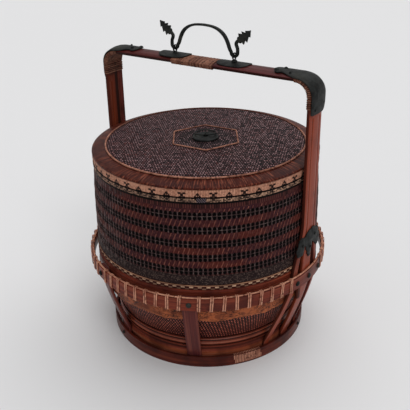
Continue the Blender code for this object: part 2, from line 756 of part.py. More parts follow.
def bail_rod():
    """An arch whose legs turn up round the eyes and end in leaf-shaped curls."""
    half = [(EYE_X * u, EYE_Z + BAIL_RISE * v) for u, v in BAIL_ARCH_SHARES]
    widths = [BAIL_ROD * share / 2 for share in (0.8, 0.8, 0.85, 0.95, 1.0, 1.0)]
    for step in range(7):
        turn = math.pi * (1 + step / 6)
        half.append((EYE_X + BAIL_BEND * math.cos(turn), EYE_Z + BAIL_BEND * (1 + math.sin(turn))))
        widths.append(BAIL_ROD / 2)
    depths = [BAIL_ROD / 2] * len(half)
    for (u, v), share in zip(BAIL_CURL_SHARES, BAIL_CURL_WIDTH_SHARES):
        half.append((EYE_X * u, EYE_Z + BAIL_RISE * v))
        widths.append(BAIL_ROD / 2 * share)
        depths.append(LEAF_THICKNESS / 2 if share > 1.2 or share < 0.5 else BAIL_ROD / 2 * 0.9)
    path = [(-u, v) for u, v in reversed(half[1:])] + half
    widths = list(reversed(widths[1:])) + widths
    depths = list(reversed(depths[1:])) + depths
    return flat_rod(path, widths, depths, lambda u, v, w: (u, w, v), sides=8)


def ring_band(outer, wall, low, high, segments=MAIN_SEGMENTS):
    """A plain hoop."""
    inside = bore(outer - wall, segments)
    return turned([(outer, low), (outer, high), (inside, high), (inside, low)], segments)


def bowl_wall():
    """The lower tier's curved wall, plainer inside than outside."""
    outline = []
    for up, out in BOWL_OUTLINE_SHARES:
        outline.append((mix(BOWL_FOOT_RADIUS, BOWL_TOP_RADIUS, out), BOWL_Z + BOWL_HEIGHT * up))
    inside = [(radius - BOWL_WALL, z) for radius, z in reversed(outline[::2])]
    return turned(outline + inside)


def disc(radius, low, thickness):
    """A round floor."""
    work = bmesh.new()
    bmesh.ops.create_cone(
        work, cap_ends=True, segments=INNER_SEGMENTS, radius1=radius, radius2=radius,
        depth=thickness, matrix=Matrix.Translation((0.0, 0.0, low + thickness / 2)),
    )
    return work


def apron():
    """A thin band behind the straps that leans in below the cradle hoop. Its lower edge is wavy."""
    top = CRADLE_Z - CLEARANCE
    inside_tongues = BODY_RADIUS + RUNNING_GAP - 2 * CLEARANCE
    outer, inner = [], []
    for share in (0.0, 0.5, 1.0):
        rows = [[], []]
        for step in range(APRON_SEGMENTS):
            degrees = 360.0 * step / APRON_SEGMENTS
            wave = APRON_WAVE * abs(math.sin(math.radians(degrees) * APRON_WAVES / 2))
            z = top - (APRON_DROP - wave) * share
            radius = strap_radius(z, inside_tongues, inside_tongues + STRAP_FOOT_RADIUS - STRAP_RING_RADIUS)
            rows[0].append(polar(radius, degrees, z))
            rows[1].append(polar(bore(radius - APRON_WALL, APRON_SEGMENTS), degrees, z))
        outer.append(rows[0])
        inner.append(rows[1])
    return plate(outer, inner, everywhere, closed=True)


def strap_places():
    """Every strap's and tongue's place on the cradle hoop, in degrees."""
    half = list(STRAP_DEG) + list(RING_TONGUE_DEG)
    return half + [degrees + 180.0 for degrees in half]


def lashing_edges():
    """Where each tie of the lashing starts and ends, in degrees, evenly between the straps."""
    half = math.degrees(TIE_WIDTH / 2 / CRADLE_RADIUS)
    edges = []
    places = sorted(degrees % 360.0 for degrees in strap_places())
    for k, first in enumerate(places):
        bay = (places[(k + 1) % len(places)] - first) % 360.0 - 2 * TIE_MARGIN_DEG
        steps = round(bay / TIE_PITCH_DEG)
        if steps < LEAST_TIES:
            continue
        for step in range(steps + 1):
            degrees = first + TIE_MARGIN_DEG + bay * step / steps
            edges += [degrees - half, degrees + half]
    return edges


def cradle_lashing():
    """One cane strand: it runs along the hoop's top edge and comes down over its face at each tie."""
    strip_top = CRADLE_TOP + CLEARANCE + EDGE_CANE_HEIGHT
    face = bore(CRADLE_RADIUS + CLEARANCE, 360.0 / TIE_PITCH_DEG)
    low = strip_top + CLEARANCE
    outer = ((face + TIE_THICKNESS, CRADLE_Z), (face + TIE_THICKNESS, low + TIE_THICKNESS),
             (CRADLE_BORE + HOOP_FIT, low + TIE_THICKNESS))
    inner = ((face, CRADLE_Z), (face, low), (CRADLE_BORE + HOOP_FIT, low))
    columns, is_tie = [], []
    edges = lashing_edges()
    for k in range(0, len(edges), 2):
        start, end = edges[k], edges[k + 1]
        after = edges[(k + 2) % len(edges)] + (360.0 if k + 2 >= len(edges) else 0.0)
        steps = max(1, round((after - end) / TIE_PITCH_DEG))
        columns.append(start)
        is_tie.append(True)
        for step in range(steps):
            columns.append(mix(end, after, step / steps))
            is_tie.append(False)
    grids = [[[polar(r, degrees, z) for degrees in columns] for r, z in side] for side in (outer, inner)]
    return plate(grids[0], grids[1], lambda row, column: row == 1 or is_tie[column], closed=True)


def tongue_wedge():
    """A short strip driven in between the near and the middle tongue, behind the cradle hoop."""
    left, left_half = tongue_centre(0, NAIL_Z)
    right, right_half = tongue_centre(1, NAIL_Z)
    first = left + math.degrees(left_half / POST_OUTER)
    last = right - math.degrees(right_half / POST_OUTER)
    half = (last - first) / 2 - math.degrees(WEDGE_GAP / POST_OUTER)
    top, low = CRADLE_TOP, CRADLE_Z - WEDGE_DROP
    middle = (first + last) / 2
    corners = []
    for degrees in (middle - half, middle + half):
        corners.append([
            polar(POST_OUTER, degrees, low), polar(POST_OUTER, degrees, top),
            polar(POST_OUTER - STRAP_THICKNESS, degrees, top), polar(POST_OUTER - STRAP_THICKNESS, degrees, low),
        ])
    return prism(*corners)


def cloud_mount():
    """An iron plate of cloud outline, over the three tongues."""
    low = CRADLE_TOP + CLOUD_LIFT
    seat = POST_OUTER + CLEARANCE
    outer, inner = [], []
    middle, _ = tongue_centre(1, low + CLOUD_HEIGHT / 2)
    for row in CLOUD_ROW_SHARES:
        z = low + CLOUD_HEIGHT * row
        across = [middle + math.degrees(CLOUD_HALF_WIDTH * share / POST_OUTER) for share in CLOUD_COLUMN_SHARES]
        outer.append([polar(seat + CLOUD_THICKNESS, degrees, z) for degrees in across])
        inner.append([polar(seat, degrees, z) for degrees in across])
    return plate(outer, inner, lambda row, column: CLOUD_CELLS[row][column] == "1")


def tier_wall():
    """The woven drum: it draws in a little towards the lid, inside as outside."""
    taper = BODY_RADIUS - LID_RADIUS
    outline = []
    for up, draw in TIER_TAPER_SHARES:
        outline.append((BODY_RADIUS - taper * draw, TIER_WALL_Z + TIER_WALL_HEIGHT * up))
    top, low = outline[-1], outline[0]
    inside = [(bore(radius - BODY_WALL), z) for radius, z in (top, outline[2], low)]
    return turned(outline + inside)


def lid_shoulder():
    ledge = SHOULDER_INNER_RADIUS - LEDGE_WIDTH
    under = SHOULDER_TOP - SHOULDER_THICKNESS
    edge = LID_RADIUS
    outline = [
        (edge, SHOULDER_Z), (edge, SHOULDER_Z + SHOULDER_RISE * 0.2),
        (mix(edge, SHOULDER_INNER_RADIUS, 0.45), SHOULDER_Z + SHOULDER_RISE * 0.74),
        (SHOULDER_INNER_RADIUS, SHOULDER_TOP),
        (SHOULDER_INNER_RADIUS, under), (ledge, under), (ledge, under - SHOULDER_THICKNESS * 0.6),
        (mix(edge, SHOULDER_INNER_RADIUS, 0.55), SHOULDER_Z),
    ]
    return turned(outline)


def lid_panel():
    edge = SHOULDER_INNER_RADIUS - CLEARANCE
    low = SHOULDER_TOP - SHOULDER_THICKNESS + CLEARANCE
    hole = STAPLE_LEG + STAPLE_ROD / 2 + CLEARANCE
    under = PANEL_TOP - PANEL_THICKNESS
    outline = [
        (edge, low), (edge, SHOULDER_TOP - CLEARANCE), (edge - PANEL_ROLL / 2, PANEL_TOP - PANEL_RISE * 0.35),
        (edge - PANEL_ROLL, PANEL_TOP), (hole, PANEL_TOP), (hole, under), (edge - PANEL_ROLL, low),
    ]
    return turned(outline)


def lid_rim_cane():
    out = SHOULDER_INNER_RADIUS - CLEARANCE / 2
    rod = RIM_CANE_DIAMETER / 2
    z = SHOULDER_TOP + CLEARANCE + rod
    outline = []
    for step in range(6):
        turn = math.pi / 3 * step
        outline.append((out + rod * math.cos(turn), z + rod * math.sin(turn)))
    return turned(outline)


def lid_hexagon():
    """A cane laid in a hexagon on the panel."""
    rod = HEXAGON_CANE_DIAMETER / 2
    z = PANEL_TOP + CLEARANCE + rod
    path = [polar(HEXAGON_RADIUS, HEXAGON_TURN_DEG + 60.0 * corner, z)[:2] for corner in range(6)]
    return flat_rod(path, [rod] * 6, [rod] * 6, lambda u, v, w: (u, v, z + w), sides=6, closed=True)


def lid_rosette():
    hole = STAPLE_LEG + STAPLE_ROD / 2 + CLEARANCE
    rim, top = ROSETTE_RADIUS, ROSETTE_Z + ROSETTE_THICKNESS
    outline = [
        (rim, ROSETTE_Z), (rim, top + ROSETTE_DISH / 2), (rim * 0.86, top + ROSETTE_DISH),
        (rim * 0.70, top), (rim * 0.34, top + ROSETTE_DISH * 0.2), (hole, top + ROSETTE_DISH), (hole, ROSETTE_Z),
    ]
    return turned(outline, 24)


def drop_ring_frame(u, v, w):
    """u along the hinge axis, v towards the ring's free end, w up."""
    turn = math.radians(DROP_RING_DEG)
    x, y = math.cos(turn), math.sin(turn)
    return (u * y + v * x, -u * x + v * y, DROP_RING_Z + w)


def drop_ring():
    """A D-shaped ring: its straight side runs through the staple."""
    half, long = DROP_RING_HALF_WIDTH, DROP_RING_LENGTH
    path = [(half * share, 0.0) for share in (-0.55, -0.2, 0.2, 0.55)]
    for step in range(13):
        turn = math.pi * step / 12
        path.append((half * math.cos(turn), long * (0.25 + 0.75 * math.sin(turn))))
    halves = [DROP_RING_ROD / 2] * len(path)
    return flat_rod(path, halves, halves, drop_ring_frame, sides=6, closed=True)


def lid_staple():
    top = DROP_RING_Z + CLEARANCE
    under = PANEL_TOP - PANEL_THICKNESS - CLEARANCE - STAPLE_ROD / 2

    def place(u, v, w):
        x, y, _ = drop_ring_frame(w, u, 0.0)
        return (x, y, v)

    return split_pin(place, STAPLE_LOOP, STAPLE_LEG, STAPLE_ROD, top, under, STAPLE_CLINCH)


def build_stand(finish):
    add_piece("foot_hoop", foot_hoop(), finish["foot"])
    add_wound_tube("foot_binding", foot_binding_path(), FOOT_BINDING_DIAMETER, finish["cane"])
    add_piece("base_hoop_lower", ring_band(BASE_RADIUS, BASE_WALL, BASE_LIFT, BASE_LOWER_TOP), finish["hoop"])
    low = BASE_LOWER_TOP + CLEARANCE
    add_piece("base_hoop_upper", ring_band(BASE_RADIUS, BASE_WALL, low, BASE_UPPER_TOP), finish["hoop"])
    cradle = [
        (CRADLE_RADIUS, CRADLE_Z), (CRADLE_RADIUS, CRADLE_TOP),
        (bore(CRADLE_BORE), CRADLE_TOP), (bore(CRADLE_BORE), CRADLE_Z),
    ]
    add_piece("cradle_hoop", turned(cradle), finish["hoop"])
    strip = CRADLE_TOP + CLEARANCE
    edge = ring_band(CRADLE_BORE + HOOP_FIT + EDGE_CANE_WIDTH, EDGE_CANE_WIDTH, strip, strip + EDGE_CANE_HEIGHT)
    add_piece("hoop_edge_cane", edge, finish["cane"])
    add_piece("hoop_lashing", cradle_lashing(), finish["cane"])
    for name, degrees in (("front", STRAP_DEG[0]), ("front_left", STRAP_DEG[1])):
        add_piece(f"strap_{name}", single_strap(degrees), finish["bamboo"])
    for name, degrees in (("rear", STRAP_DEG[0]), ("rear_right", STRAP_DEG[1])):
        add_piece(f"strap_{name}", single_strap(degrees + 180.0), finish["bamboo"])
    add_piece("tongue_wedge_right", tongue_wedge(), finish["dark_bamboo"])
    add_piece("tongue_wedge_left", half_turned(tongue_wedge()), finish["dark_bamboo"])
    for k, degrees in enumerate(strap_places()):
        add_piece(f"hoop_nail_{k + 1}", nail_head(CRADLE_RADIUS + CLEARANCE, degrees, NAIL_Z), finish["iron"])


def build_lower_tier(finish):
    add_piece("lower_tier_wall", bowl_wall(), finish["weave"])
    floor_radius = BOWL_FOOT_RADIUS - BOWL_WALL - 3 * CLEARANCE
    add_piece("lower_tier_floor", disc(floor_radius, BOWL_Z, FLOOR_THICKNESS), finish["weave"])
    add_piece("lower_tier_apron", apron(), finish["apron"])
    rim = ring_band(BODY_RADIUS, BODY_WALL, LOWER_RIM_Z, LOWER_RIM_TOP)
    add_piece("lower_tier_rim", rim, finish["hoop"])
    collar_top = LOWER_RIM_TOP + COLLAR_RISE
    collar = ring_band(COLLAR_RADIUS, COLLAR_WALL, LOWER_RIM_Z, collar_top, INNER_SEGMENTS)
    add_piece("lower_tier_collar", collar, finish["dark_bamboo"])


def build_handle(finish):
    add_piece("handle_culm", handle_culm(), finish["bamboo"])
    for side, name in ((1, "right"), (-1, "left")):
        mount = corner_mount()
        cloud = cloud_mount()
        if side < 0:
            mount, cloud = half_turned(mount), half_turned(cloud)
        add_piece(f"corner_mount_{name}", mount, finish["iron"])
        add_wound_tube(
            f"corner_binding_{name}", corner_binding_path(side < 0), CORNER_BINDING_DIAMETER, finish["cane"]
        )
        add_piece(f"cloud_mount_{name}", cloud, finish["iron"])
        add_piece(f"bail_plate_{name}", bail_plate(side), finish["iron"])
        add_piece(f"bail_eye_{name}", bail_eye(side), finish["iron"])
    add_piece("grip_binding", grip_binding(), finish["cane"])


def build_tier(finish):
    tier = carrier("tier_lift_axis", (0.0, 0.0, TIER_Z))
    rims = (
        ("tier_foot_rim", BODY_RADIUS, TIER_Z, TIER_FOOT_RIM_HEIGHT, "hoop"),
        ("tier_border", BODY_RADIUS, TIER_BORDER_Z, TIER_BORDER_HEIGHT, "border"),
        ("tier_top_rim", LID_RADIUS, TIER_TOP_RIM_Z, TIER_TOP_RIM_HEIGHT, "border"),
    )
    for name, radius, low, height, look in rims:
        add_piece(name, ring_band(radius, BODY_WALL, low, low + height), finish[look], tier)
    add_piece("tier_wall", tier_wall(), finish["weave"], tier)
    low, high = TIER_TOP - COLLAR_GRIP, TIER_TOP + COLLAR_RISE
    collar = ring_band(TOP_COLLAR_RADIUS, COLLAR_WALL, low, high, INNER_SEGMENTS)
    add_piece("tier_inner_collar", collar, finish["dark_bamboo"], tier)
    floor_low = TIER_Z + COLLAR_RISE + 2 * CLEARANCE
    add_piece("tier_floor", disc(COLLAR_RADIUS, floor_low, FLOOR_THICKNESS), finish["weave"], tier)


def build_lid(finish):
    lid = carrier("lid_lift_axis", (0.0, 0.0, LID_Z))
    band = ring_band(LID_RADIUS, LID_BAND_WALL, LID_Z, LID_BAND_TOP)
    add_piece("lid_border_band", band, finish["border"], lid)
    add_piece("lid_shoulder", lid_shoulder(), finish["lacquer"], lid)
    add_piece("lid_panel", lid_panel(), finish["weave"], lid)
    add_piece("lid_rim_cane", lid_rim_cane(), finish["cane"], lid)
    add_piece("lid_hexagon_cane", lid_hexagon(), finish["cane"], lid)
    add_piece("lid_rosette", lid_rosette(), finish["iron"], lid)
    add_piece("lid_staple", lid_staple(), finish["iron"], lid)
    hinge = carrier("drop_ring_axis", (0.0, 0.0, DROP_RING_Z))
    add_piece("drop_ring", drop_ring(), finish["iron"], hinge)


def build_bail(finish):
    hinge = carrier("bail_axis", (0.0, 0.0, EYE_Z))
    add_piece("bail", bail_rod(), finish["iron"], hinge)


def main():
    clear_scene()
    finish = {
        "bamboo": material("red_brown_bamboo", (0.17, 0.045, 0.025), 0.38),
        "dark_bamboo": material("dark_bamboo", (0.05, 0.018, 0.012), 0.5),
        "hoop": material("lacquered_hoop", (0.16, 0.040, 0.018), 0.34),
        "foot": material("foot_hoop_bamboo", (0.10, 0.026, 0.015), 0.36),
        "lacquer": material("glossy_lacquer", (0.11, 0.024, 0.012), 0.25),
        "apron": material("orange_brown_bamboo", (0.24, 0.085, 0.030), 0.42),
        "weave": material("purple_brown_weave", (0.055, 0.022, 0.020), 0.55),
        "border": material("tan_border", (0.30, 0.17, 0.09), 0.5),
        "cane": material("light_cane", (0.42, 0.20, 0.12), 0.5),
        "iron": material("forged_iron", (0.022, 0.024, 0.022), 0.55, 0.7),
    }
    build_stand(finish)
    build_lower_tier(finish)
    build_handle(finish)
    build_tier(finish)
    build_lid(finish)
    build_bail(finish)


main()
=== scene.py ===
"""The looks of a tiered bamboo food basket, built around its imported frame.

Metres, +Z up, in the frame's own axes. The woven walls, hoops, ties and ironwork are finer meshes that
stand where the frame's solids are, and every surface has a finish made of nodes. Tables whose names end
in MM, DEG or SHARES hold millimetres, degrees or shares of a length.
"""

import math
import random

import bmesh
import bpy
from mathutils import Matrix, Vector


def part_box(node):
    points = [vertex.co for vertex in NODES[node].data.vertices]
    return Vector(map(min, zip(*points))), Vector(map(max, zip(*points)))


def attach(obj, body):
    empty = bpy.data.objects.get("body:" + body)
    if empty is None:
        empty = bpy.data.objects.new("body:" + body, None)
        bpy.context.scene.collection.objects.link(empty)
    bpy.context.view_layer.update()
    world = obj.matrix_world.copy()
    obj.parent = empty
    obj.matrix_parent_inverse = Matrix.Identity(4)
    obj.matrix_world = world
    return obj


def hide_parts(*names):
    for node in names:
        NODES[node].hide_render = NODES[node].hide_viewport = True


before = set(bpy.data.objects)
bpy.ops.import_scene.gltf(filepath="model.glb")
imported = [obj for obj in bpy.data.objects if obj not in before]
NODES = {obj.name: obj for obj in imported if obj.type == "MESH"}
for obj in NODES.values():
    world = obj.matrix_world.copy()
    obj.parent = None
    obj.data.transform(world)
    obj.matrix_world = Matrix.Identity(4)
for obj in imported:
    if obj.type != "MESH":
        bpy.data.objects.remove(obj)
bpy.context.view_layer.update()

MM = 0.001
TURN = 2 * math.pi
ABOVE = (0.0, 0.0, 1.0)
SIDES = (("right", 1.0), ("left", -1.0))


def low_of(node):
    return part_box(node)[0].z


def top_of(node):
    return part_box(node)[1].z


def radius_of(node):
    """The outer radius of a round piece."""
    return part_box(node)[1].x


# Round body
ROUND_STEPS = 180
BODY_RADIUS = radius_of("lower_tier_rim")
LID_RADIUS = radius_of("lid_border_band")
BODY_WALL = 3.8 * MM
BASE_WALL = 4.0 * MM
CRADLE_WALL = 4.2 * MM
COLLAR_WALL = 3.2 * MM
BAND_WALL = 2.8 * MM
BAND_EDGE = 0.7 * MM
BASE_ROLL_SHARES = {"base_hoop_upper": (0.28,)}
CLEARANCE = 0.3 * MM

# Rounded copies of nodes
WELD = 0.01 * MM
FLAT_DEG = 35
SHAPE_DEG = 120
FIRM_DEG = 55

# Drum weave
DRUM_LOW = low_of("tier_wall")
DRUM_TOP = top_of("tier_wall")
DRUM_ROWS = 150
DRUM_TAPER_SHARES = ((0.0, 0.12), (0.2, 0.3), (0.5, 0.42), (0.72, 0.65), (0.88, 1.0), (1.0, 1.25))
STAKES = 164
STEPS_PER_STAKE = 6
STAKE_WIDTH = TURN * BODY_RADIUS / STAKES
WEAVE_RELIEF = 1.1 * MM
FIRST_DOTS_Z = 160.0 * MM
DOTS_PITCH = 18.8 * MM
DOT_PAIRS = 5
DOT_ROW_OFFSET = 2.3 * MM
DOT_HALF_WIDTH = 2.3 * MM
DOT_HALF_HEIGHT = 2.0 * MM
DOT_POINT = 3.1 * MM
NET_HALF = 5.2 * MM
NET_LINE = 0.42 * MM
STROKE_START = 4.4 * MM
STROKE_LEAN_PER_M = 62.0
LOW_BAND_TOP = 155.5 * MM
TOP_STROKES_Z = 246.0 * MM
TOP_LINE_Z = 250.4 * MM

# Borders
BORDER_WRAPS = 520
BORDER_MOTIFS = 52
SPLICE_TURN = 0.8412
DASHES = 92
DASH_ROW = 2.4 * MM

# Bowl weave
BOWL_STAKES = 230
STEPS_PER_BOWL_STAKE = 4
BOWL_ROW = 3.9 * MM
BOWL_LEAN = 0.27
BOWL_RELIEF = 0.3 * MM
BOWL_WALL = 2.6 * MM
BOWL_INSET = 1.6 * MM
BOWL_OUTLINE_SHARES = (
    (0.0, 0.0), (0.13, 0.13), (0.31, 0.39), (0.48, 0.63), (0.63, 0.79), (0.78, 0.91), (1.0, 1.0),
)

# Lid
SHOULDER_WIDTH = 18.8 * MM
SHOULDER_INNER = LID_RADIUS - SHOULDER_WIDTH
SHOULDER_LEDGE = SHOULDER_INNER - 5.0 * MM
LID_STRAND = 3.2 * MM
LID_ROW = 5.0 * MM
PANEL_HOLE = 3.3 * MM
PANEL_RINGS = 40
RIM_CANE_HALF = 1.2 * MM
HEXAGON_CANE_HALF = 0.9 * MM
HEXAGON_RADIUS = 50.2 * MM
HEXAGON_TURN_DEG = 5.6
HEXAGON_CORNER_SHARES = (-0.5, -0.08, -0.03, 0.03, 0.08)
ROSETTE_RADIUS = radius_of("lid_rosette")
ROSETTE_STEPS = 96
PETALS = 12
PETAL_DEPTH = 0.5 * MM

# Handle culm, straps and tongues
POST_WALL = 4.6 * MM
POST_GAP = 1.0 * MM
POST_OUTER = BODY_RADIUS + POST_GAP + POST_WALL
STRIP_EDGE = 0.9 * MM
SKIN_SHARES = (-1.0, -0.6, -0.2, 0.2, 0.6, 1.0)
STRAP_THICKNESS = 3.8 * MM
STRAP_WIDTH = 19.5 * MM
STRAP_BEND = 1.3
STRAP_LIFT = 2.0 * MM
STRAP_STEPS = 30
TONGUE_STEPS = 44
KERF_STEPS = 16
POST_STEPS = 5
BEND_STEPS = 16
BAR_STEPS = 12
STRAP_DEG = (-63.4, -114.3)
CORNER_RADIUS = 24.0 * MM
HANDLE_HEIGHT = 386.5 * MM
POST_ARC = 100.0 * MM
BAR_ARC = 40.0 * MM
KERF = 0.5 * MM
SIDE_TONGUE = 7.5 * MM
MIDDLE_TONGUE = 17.4 * MM
HALF_CULM = MIDDLE_TONGUE / 2 + KERF + SIDE_TONGUE
KERF_TOP = HANDLE_HEIGHT - 50.0 * MM
BAR_TINT_Z = HANDLE_HEIGHT - 9.0 * MM
# Below this height, straps and tongues grow darker toward their feet.
FOOT_DARK_Z = 17.0 * MM
RING_TONGUE_DEG = (-10.9, -1.8, 8.3)
FOOT_TONGUE_DEG = (-21.5, -4.8, 10.4)
RING_TONGUE_SHARES = (1.24, 1.3, 1.3)
FOOT_TONGUE_SHARES = (1.2, 0.86, 1.2)
CORNER_X = POST_OUTER - CORNER_RADIUS
CORNER_Z = HANDLE_HEIGHT - CORNER_RADIUS
CRADLE_TOP = top_of("cradle_hoop")
CRADLE_Z = low_of("cradle_hoop")
CRADLE_RADIUS = radius_of("cradle_hoop")
CRADLE_BORE = POST_OUTER + 0.5 * MM
NAIL_Z = (CRADLE_Z + CRADLE_TOP) / 2
SPLAY_TOP = CRADLE_TOP + 72.0 * MM
FOOT_HEIGHT = top_of("foot_hoop")
FOOT_RADIUS = radius_of("foot_hoop")
FOOT_WALL = 4.3 * MM
BASE_RADIUS = radius_of("base_hoop_lower")
BASE_UPPER_TOP = top_of("base_hoop_upper")
STRAP_RING_RADIUS = POST_OUTER - STRAP_THICKNESS / 2
STRAP_FOOT_RADIUS = BASE_RADIUS + CLEARANCE + STRAP_THICKNESS / 2

# Apron
APRON_HEIGHT = 27.0 * MM
APRON_SCALLOP = 3.6 * MM
APRON_WAVES = 7.0
APRON_WALL = 2.0 * MM
APRON_GAP = 0.4 * MM
APRON_STEPS = 252
APRON_ROWS = 10
APRON_TOP = top_of("lower_tier_apron")
APRON_LOW = APRON_TOP - APRON_HEIGHT

# Cane: ties on the cradle hoop, and windings
TIE_PITCH_DEG = 5.6
TIE_MARGIN_DEG = 4.3
LEAST_TIES = 4
TIE_STRAND = 1.75 * MM
TIE_THICKNESS = 0.9 * MM
EDGE_CANE_WALL = 2.4 * MM
EDGE_CANE_EDGE = 0.5 * MM
FOOT_WINDING_DEG = (-41.2, -25.0)
FOOT_WINDING_TURNS = 18
FOOT_WINDING_STEPS = 24
FOOT_WINDING_HALF = (0.725 * MM, 0.65 * MM)
FOOT_WINDING_AWAY = 0.75 * MM
FOOT_WINDING_INSET = 1.1 * MM
FOOT_WINDING_LOW = 2.6 * MM
CORNER_CANE = 2.0 * MM
CORNER_LOOP_STEPS = 26
CORNER_LOOP_SHARES = [0.07 * loop + 0.02 for loop in range(15)]
POST_LOOPS_Z = [CORNER_Z - 2.4 * MM - 2.6 * MM * loop for loop in range(5)]
GRIP_PITCH = 1.7 * MM
GRIP_RIB = 1.0 * MM
GRIP_STEPS_PER_RIB = 4
GRIP_FLAT_SHARES = (-0.97, -0.6, -0.2, 0.2, 0.6, 0.97)
GRIP_EDGE_SHARES = (0.3, 1.0, 1.7)

# Iron
BAIL_HALF_ROD = 2.2 * MM
BAIL_BEND = 4.8 * MM
BAIL_BEND_STEPS = 6
BAIL_RISE = 34.6 * MM
EYE_X = 46.5 * MM
EYE_Z = low_of("bail") + BAIL_HALF_ROD
LEAF_TEETH = 4
LEAF_TOOTH = 0.5
LEAF_HALF = 9.0 * MM
LEAF_HALF_THICKNESS = 1.1 * MM
MOUNT_THICKNESS = 1.5 * MM
MOUNT_HALF = 17.6 * MM
MOUNT_LEFT_SHARE = 0.8
MOUNT_REACH = 33.0 * MM
MOUNT_END_Z = 341.0 * MM
MOUNT_LIFTS = (0.7 * MM, 1.9 * MM)
MOUNT_STEPS = 24
CLOUD_CELL = 1.6 * MM
CLOUD_COLUMNS = range(-22, 23)
CLOUD_ROWS = range(32)
CLOUD_LOW = 140.0 * MM
CLOUD_THICKNESS = 1.4 * MM
CLOUD_BULGE = 0.9 * MM
CLOUD_BULGE_EDGE = 6.0 * MM

# The bail's arch from its top down: place across and up, width in its plane and thickness
BAIL_ARCH_SHARES = (
    (0.0, 0.9971, 0.66, 1.45), (0.27, 0.9721, 0.68, 1.4), (0.49, 0.885, 0.82, 1.3),
    (0.67, 0.71, 1.04, 1.15), (0.78, 0.48, 1.14, 1.0), (0.85, 0.24, 1.08, 1.0),
)
# Its outer curl: place across and up, and width. Then the leaf's middle line
BAIL_CURL_SHARES = ((1.10, 0.29, 1.02), (1.06, 0.42, 1.04), (1.07, 0.50, 1.04), (1.12, 0.57, 1.04))
BAIL_LEAF_SHARES = ((1.12, 0.57), (1.24, 0.67), (1.38, 0.80), (1.50, 0.97))
# The corner mount's leaf from its tip, and its end on the post: place along and width
MOUNT_LEAF_SHARES = (
    (0.0, 0.12), (0.05, 0.42), (0.14, 0.62), (0.26, 0.66),
    (0.36, 0.56), (0.5, 0.62), (0.75, 0.84), (1.0, 1.0),
)
MOUNT_END_SHARES = ((0.2, 1.0), (0.5, 1.0), (0.8, 0.98), (0.93, 0.95), (1.0, 0.8))
# The cloud mount's outline as overlapping discs: across, up and radius
CLOUD_LOBES_MM = (
    (-3.0, 174.0, 10.5), (8.0, 174.0, 10.5), (-21.5, 172.0, 7.5), (-12.5, 171.5, 7.0), (-25.5, 163.0, 6.5),
    (-26.0, 157.0, 4.6), (-20.5, 161.0, 5.8), (-20.0, 156.0, 3.4), (-3.0, 162.0, 8.6), (-2.5, 154.0, 6.0),
    (-2.0, 147.5, 3.4), (4.0, 180.0, 6.0), (18.5, 173.0, 7.5), (24.0, 164.0, 6.8), (23.0, 156.5, 5.6),
    (17.0, 161.0, 5.4), (13.0, 168.0, 8.0),
)

# Nails: each head's radius and rise, and where the small ones sit
HOOP_NAIL = (3.7 * MM, 2.2 * MM)
CLOUD_NAIL = (2.4 * MM, 1.9 * MM)
FOOT_NAIL = (2.6 * MM, 2.4 * MM)
# On the bar and on the post: place along it, across, lift, radius and rise
BAR_NAILS_MM = (
    (118.0, 4.0, 2.2, 2.4, 1.8), (110.0, -5.0, 2.2, 3.0, 1.8), (131.0, -9.0, 2.2, 1.6, 1.8),
)
POST_NAILS_MM = ((347.0, -9.0, 2.0, 2.2, 2.0), (352.0, 12.0, 2.0, 2.2, 2.0))
# The eye's foot: across the bar, lift, radius and rise
EYE_FOOT_MM = (0.0, 2.2, 4.0, 2.6)
# On the cloud mount: across and height
CLOUD_NAILS_MM = ((10.0, 174.0), (-20.0, 168.0), (-2.0, 160.0))
FOOT_NAIL_Z = 9.5 * MM

# Light: each sun's place as the camera sees it, strength and spread in degrees
WORLD_LIGHT = 0.46
BACKDROP_LIGHT = 0.76
SUNS = (("overhead", (0.25, 0.40, 1.0), 1.35, 70.0), ("front", (0.35, -0.9, 0.9), 0.75, 30.0))
FLOOR_HALF = 6.0

# Camera
FOCAL_PIXELS = 660.0
IMAGE_PIXELS = 410.0
SENSOR = 36.0
CAMERA_PLACE = (-0.00257, -0.85291, 0.58953)
CAMERA_PITCH = 0.45192
CAMERA_ROLL = -0.01976
CAMERA_TURN_DEG = 35.33


def mix(first, second, share):
    return first + (second - first) * share


def held(share):
    return min(max(share, 0.0), 1.0)


def smooth(share):
    return held(share) ** 2 * (3 - 2 * held(share))


def squared(value, power):
    """A sine or a cosine, pushed out toward the sides of a square."""
    return math.copysign(abs(value) ** power, value)


def polar(radius, degrees, z):
    turn = math.radians(degrees)
    return (radius * math.cos(turn), radius * math.sin(turn), z)


def mirrored(point, sign):
    """The same place on the right side, or half-turned to the left."""
    return (sign * point[0], sign * point[1], point[2])


class Field:
    """A number that varies over a surface: one socket of a material's nodes."""

    def __init__(self, tree, socket):
        self.tree = tree
        self.socket = socket

    def math(self, operation, *others, flip=False):
        node = self.tree.nodes.new("ShaderNodeMath")
        node.operation = operation
        terms = (*others, self) if flip else (self, *others)
        for slot, value in enumerate(terms):
            if isinstance(value, Field):
                self.tree.links.new(value.socket, node.inputs[slot])
            else:
                node.inputs[slot].default_value = value
        return Field(self.tree, node.outputs[0])

    def __add__(self, other):
        return self.math("ADD", other)

    def __sub__(self, other):
        return self.math("SUBTRACT", other)

    def __rsub__(self, other):
        return self.math("SUBTRACT", other, flip=True)

    def __mul__(self, other):
        return self.math("MULTIPLY", other)

    def __truediv__(self, other):
        return self.math("DIVIDE", other)

    __radd__ = __add__
    __rmul__ = __mul__


def either(operation, plain):
    """A function that works on fields and on plain numbers."""
    def worked(first, *others):
        if isinstance(first, Field):
            return first.math(operation, *others)
        return plain(first, *others)

    return worked


fract = either("FRACT", lambda value: value - math.floor(value))
whole = either("FLOOR", math.floor)
size = either("ABSOLUTE", abs)
sine = either("SINE", math.sin)
most = either("MAXIMUM", max)


def wave(value):
    """A sine of turns, between -1 and 1."""
    return sine(value * TURN)


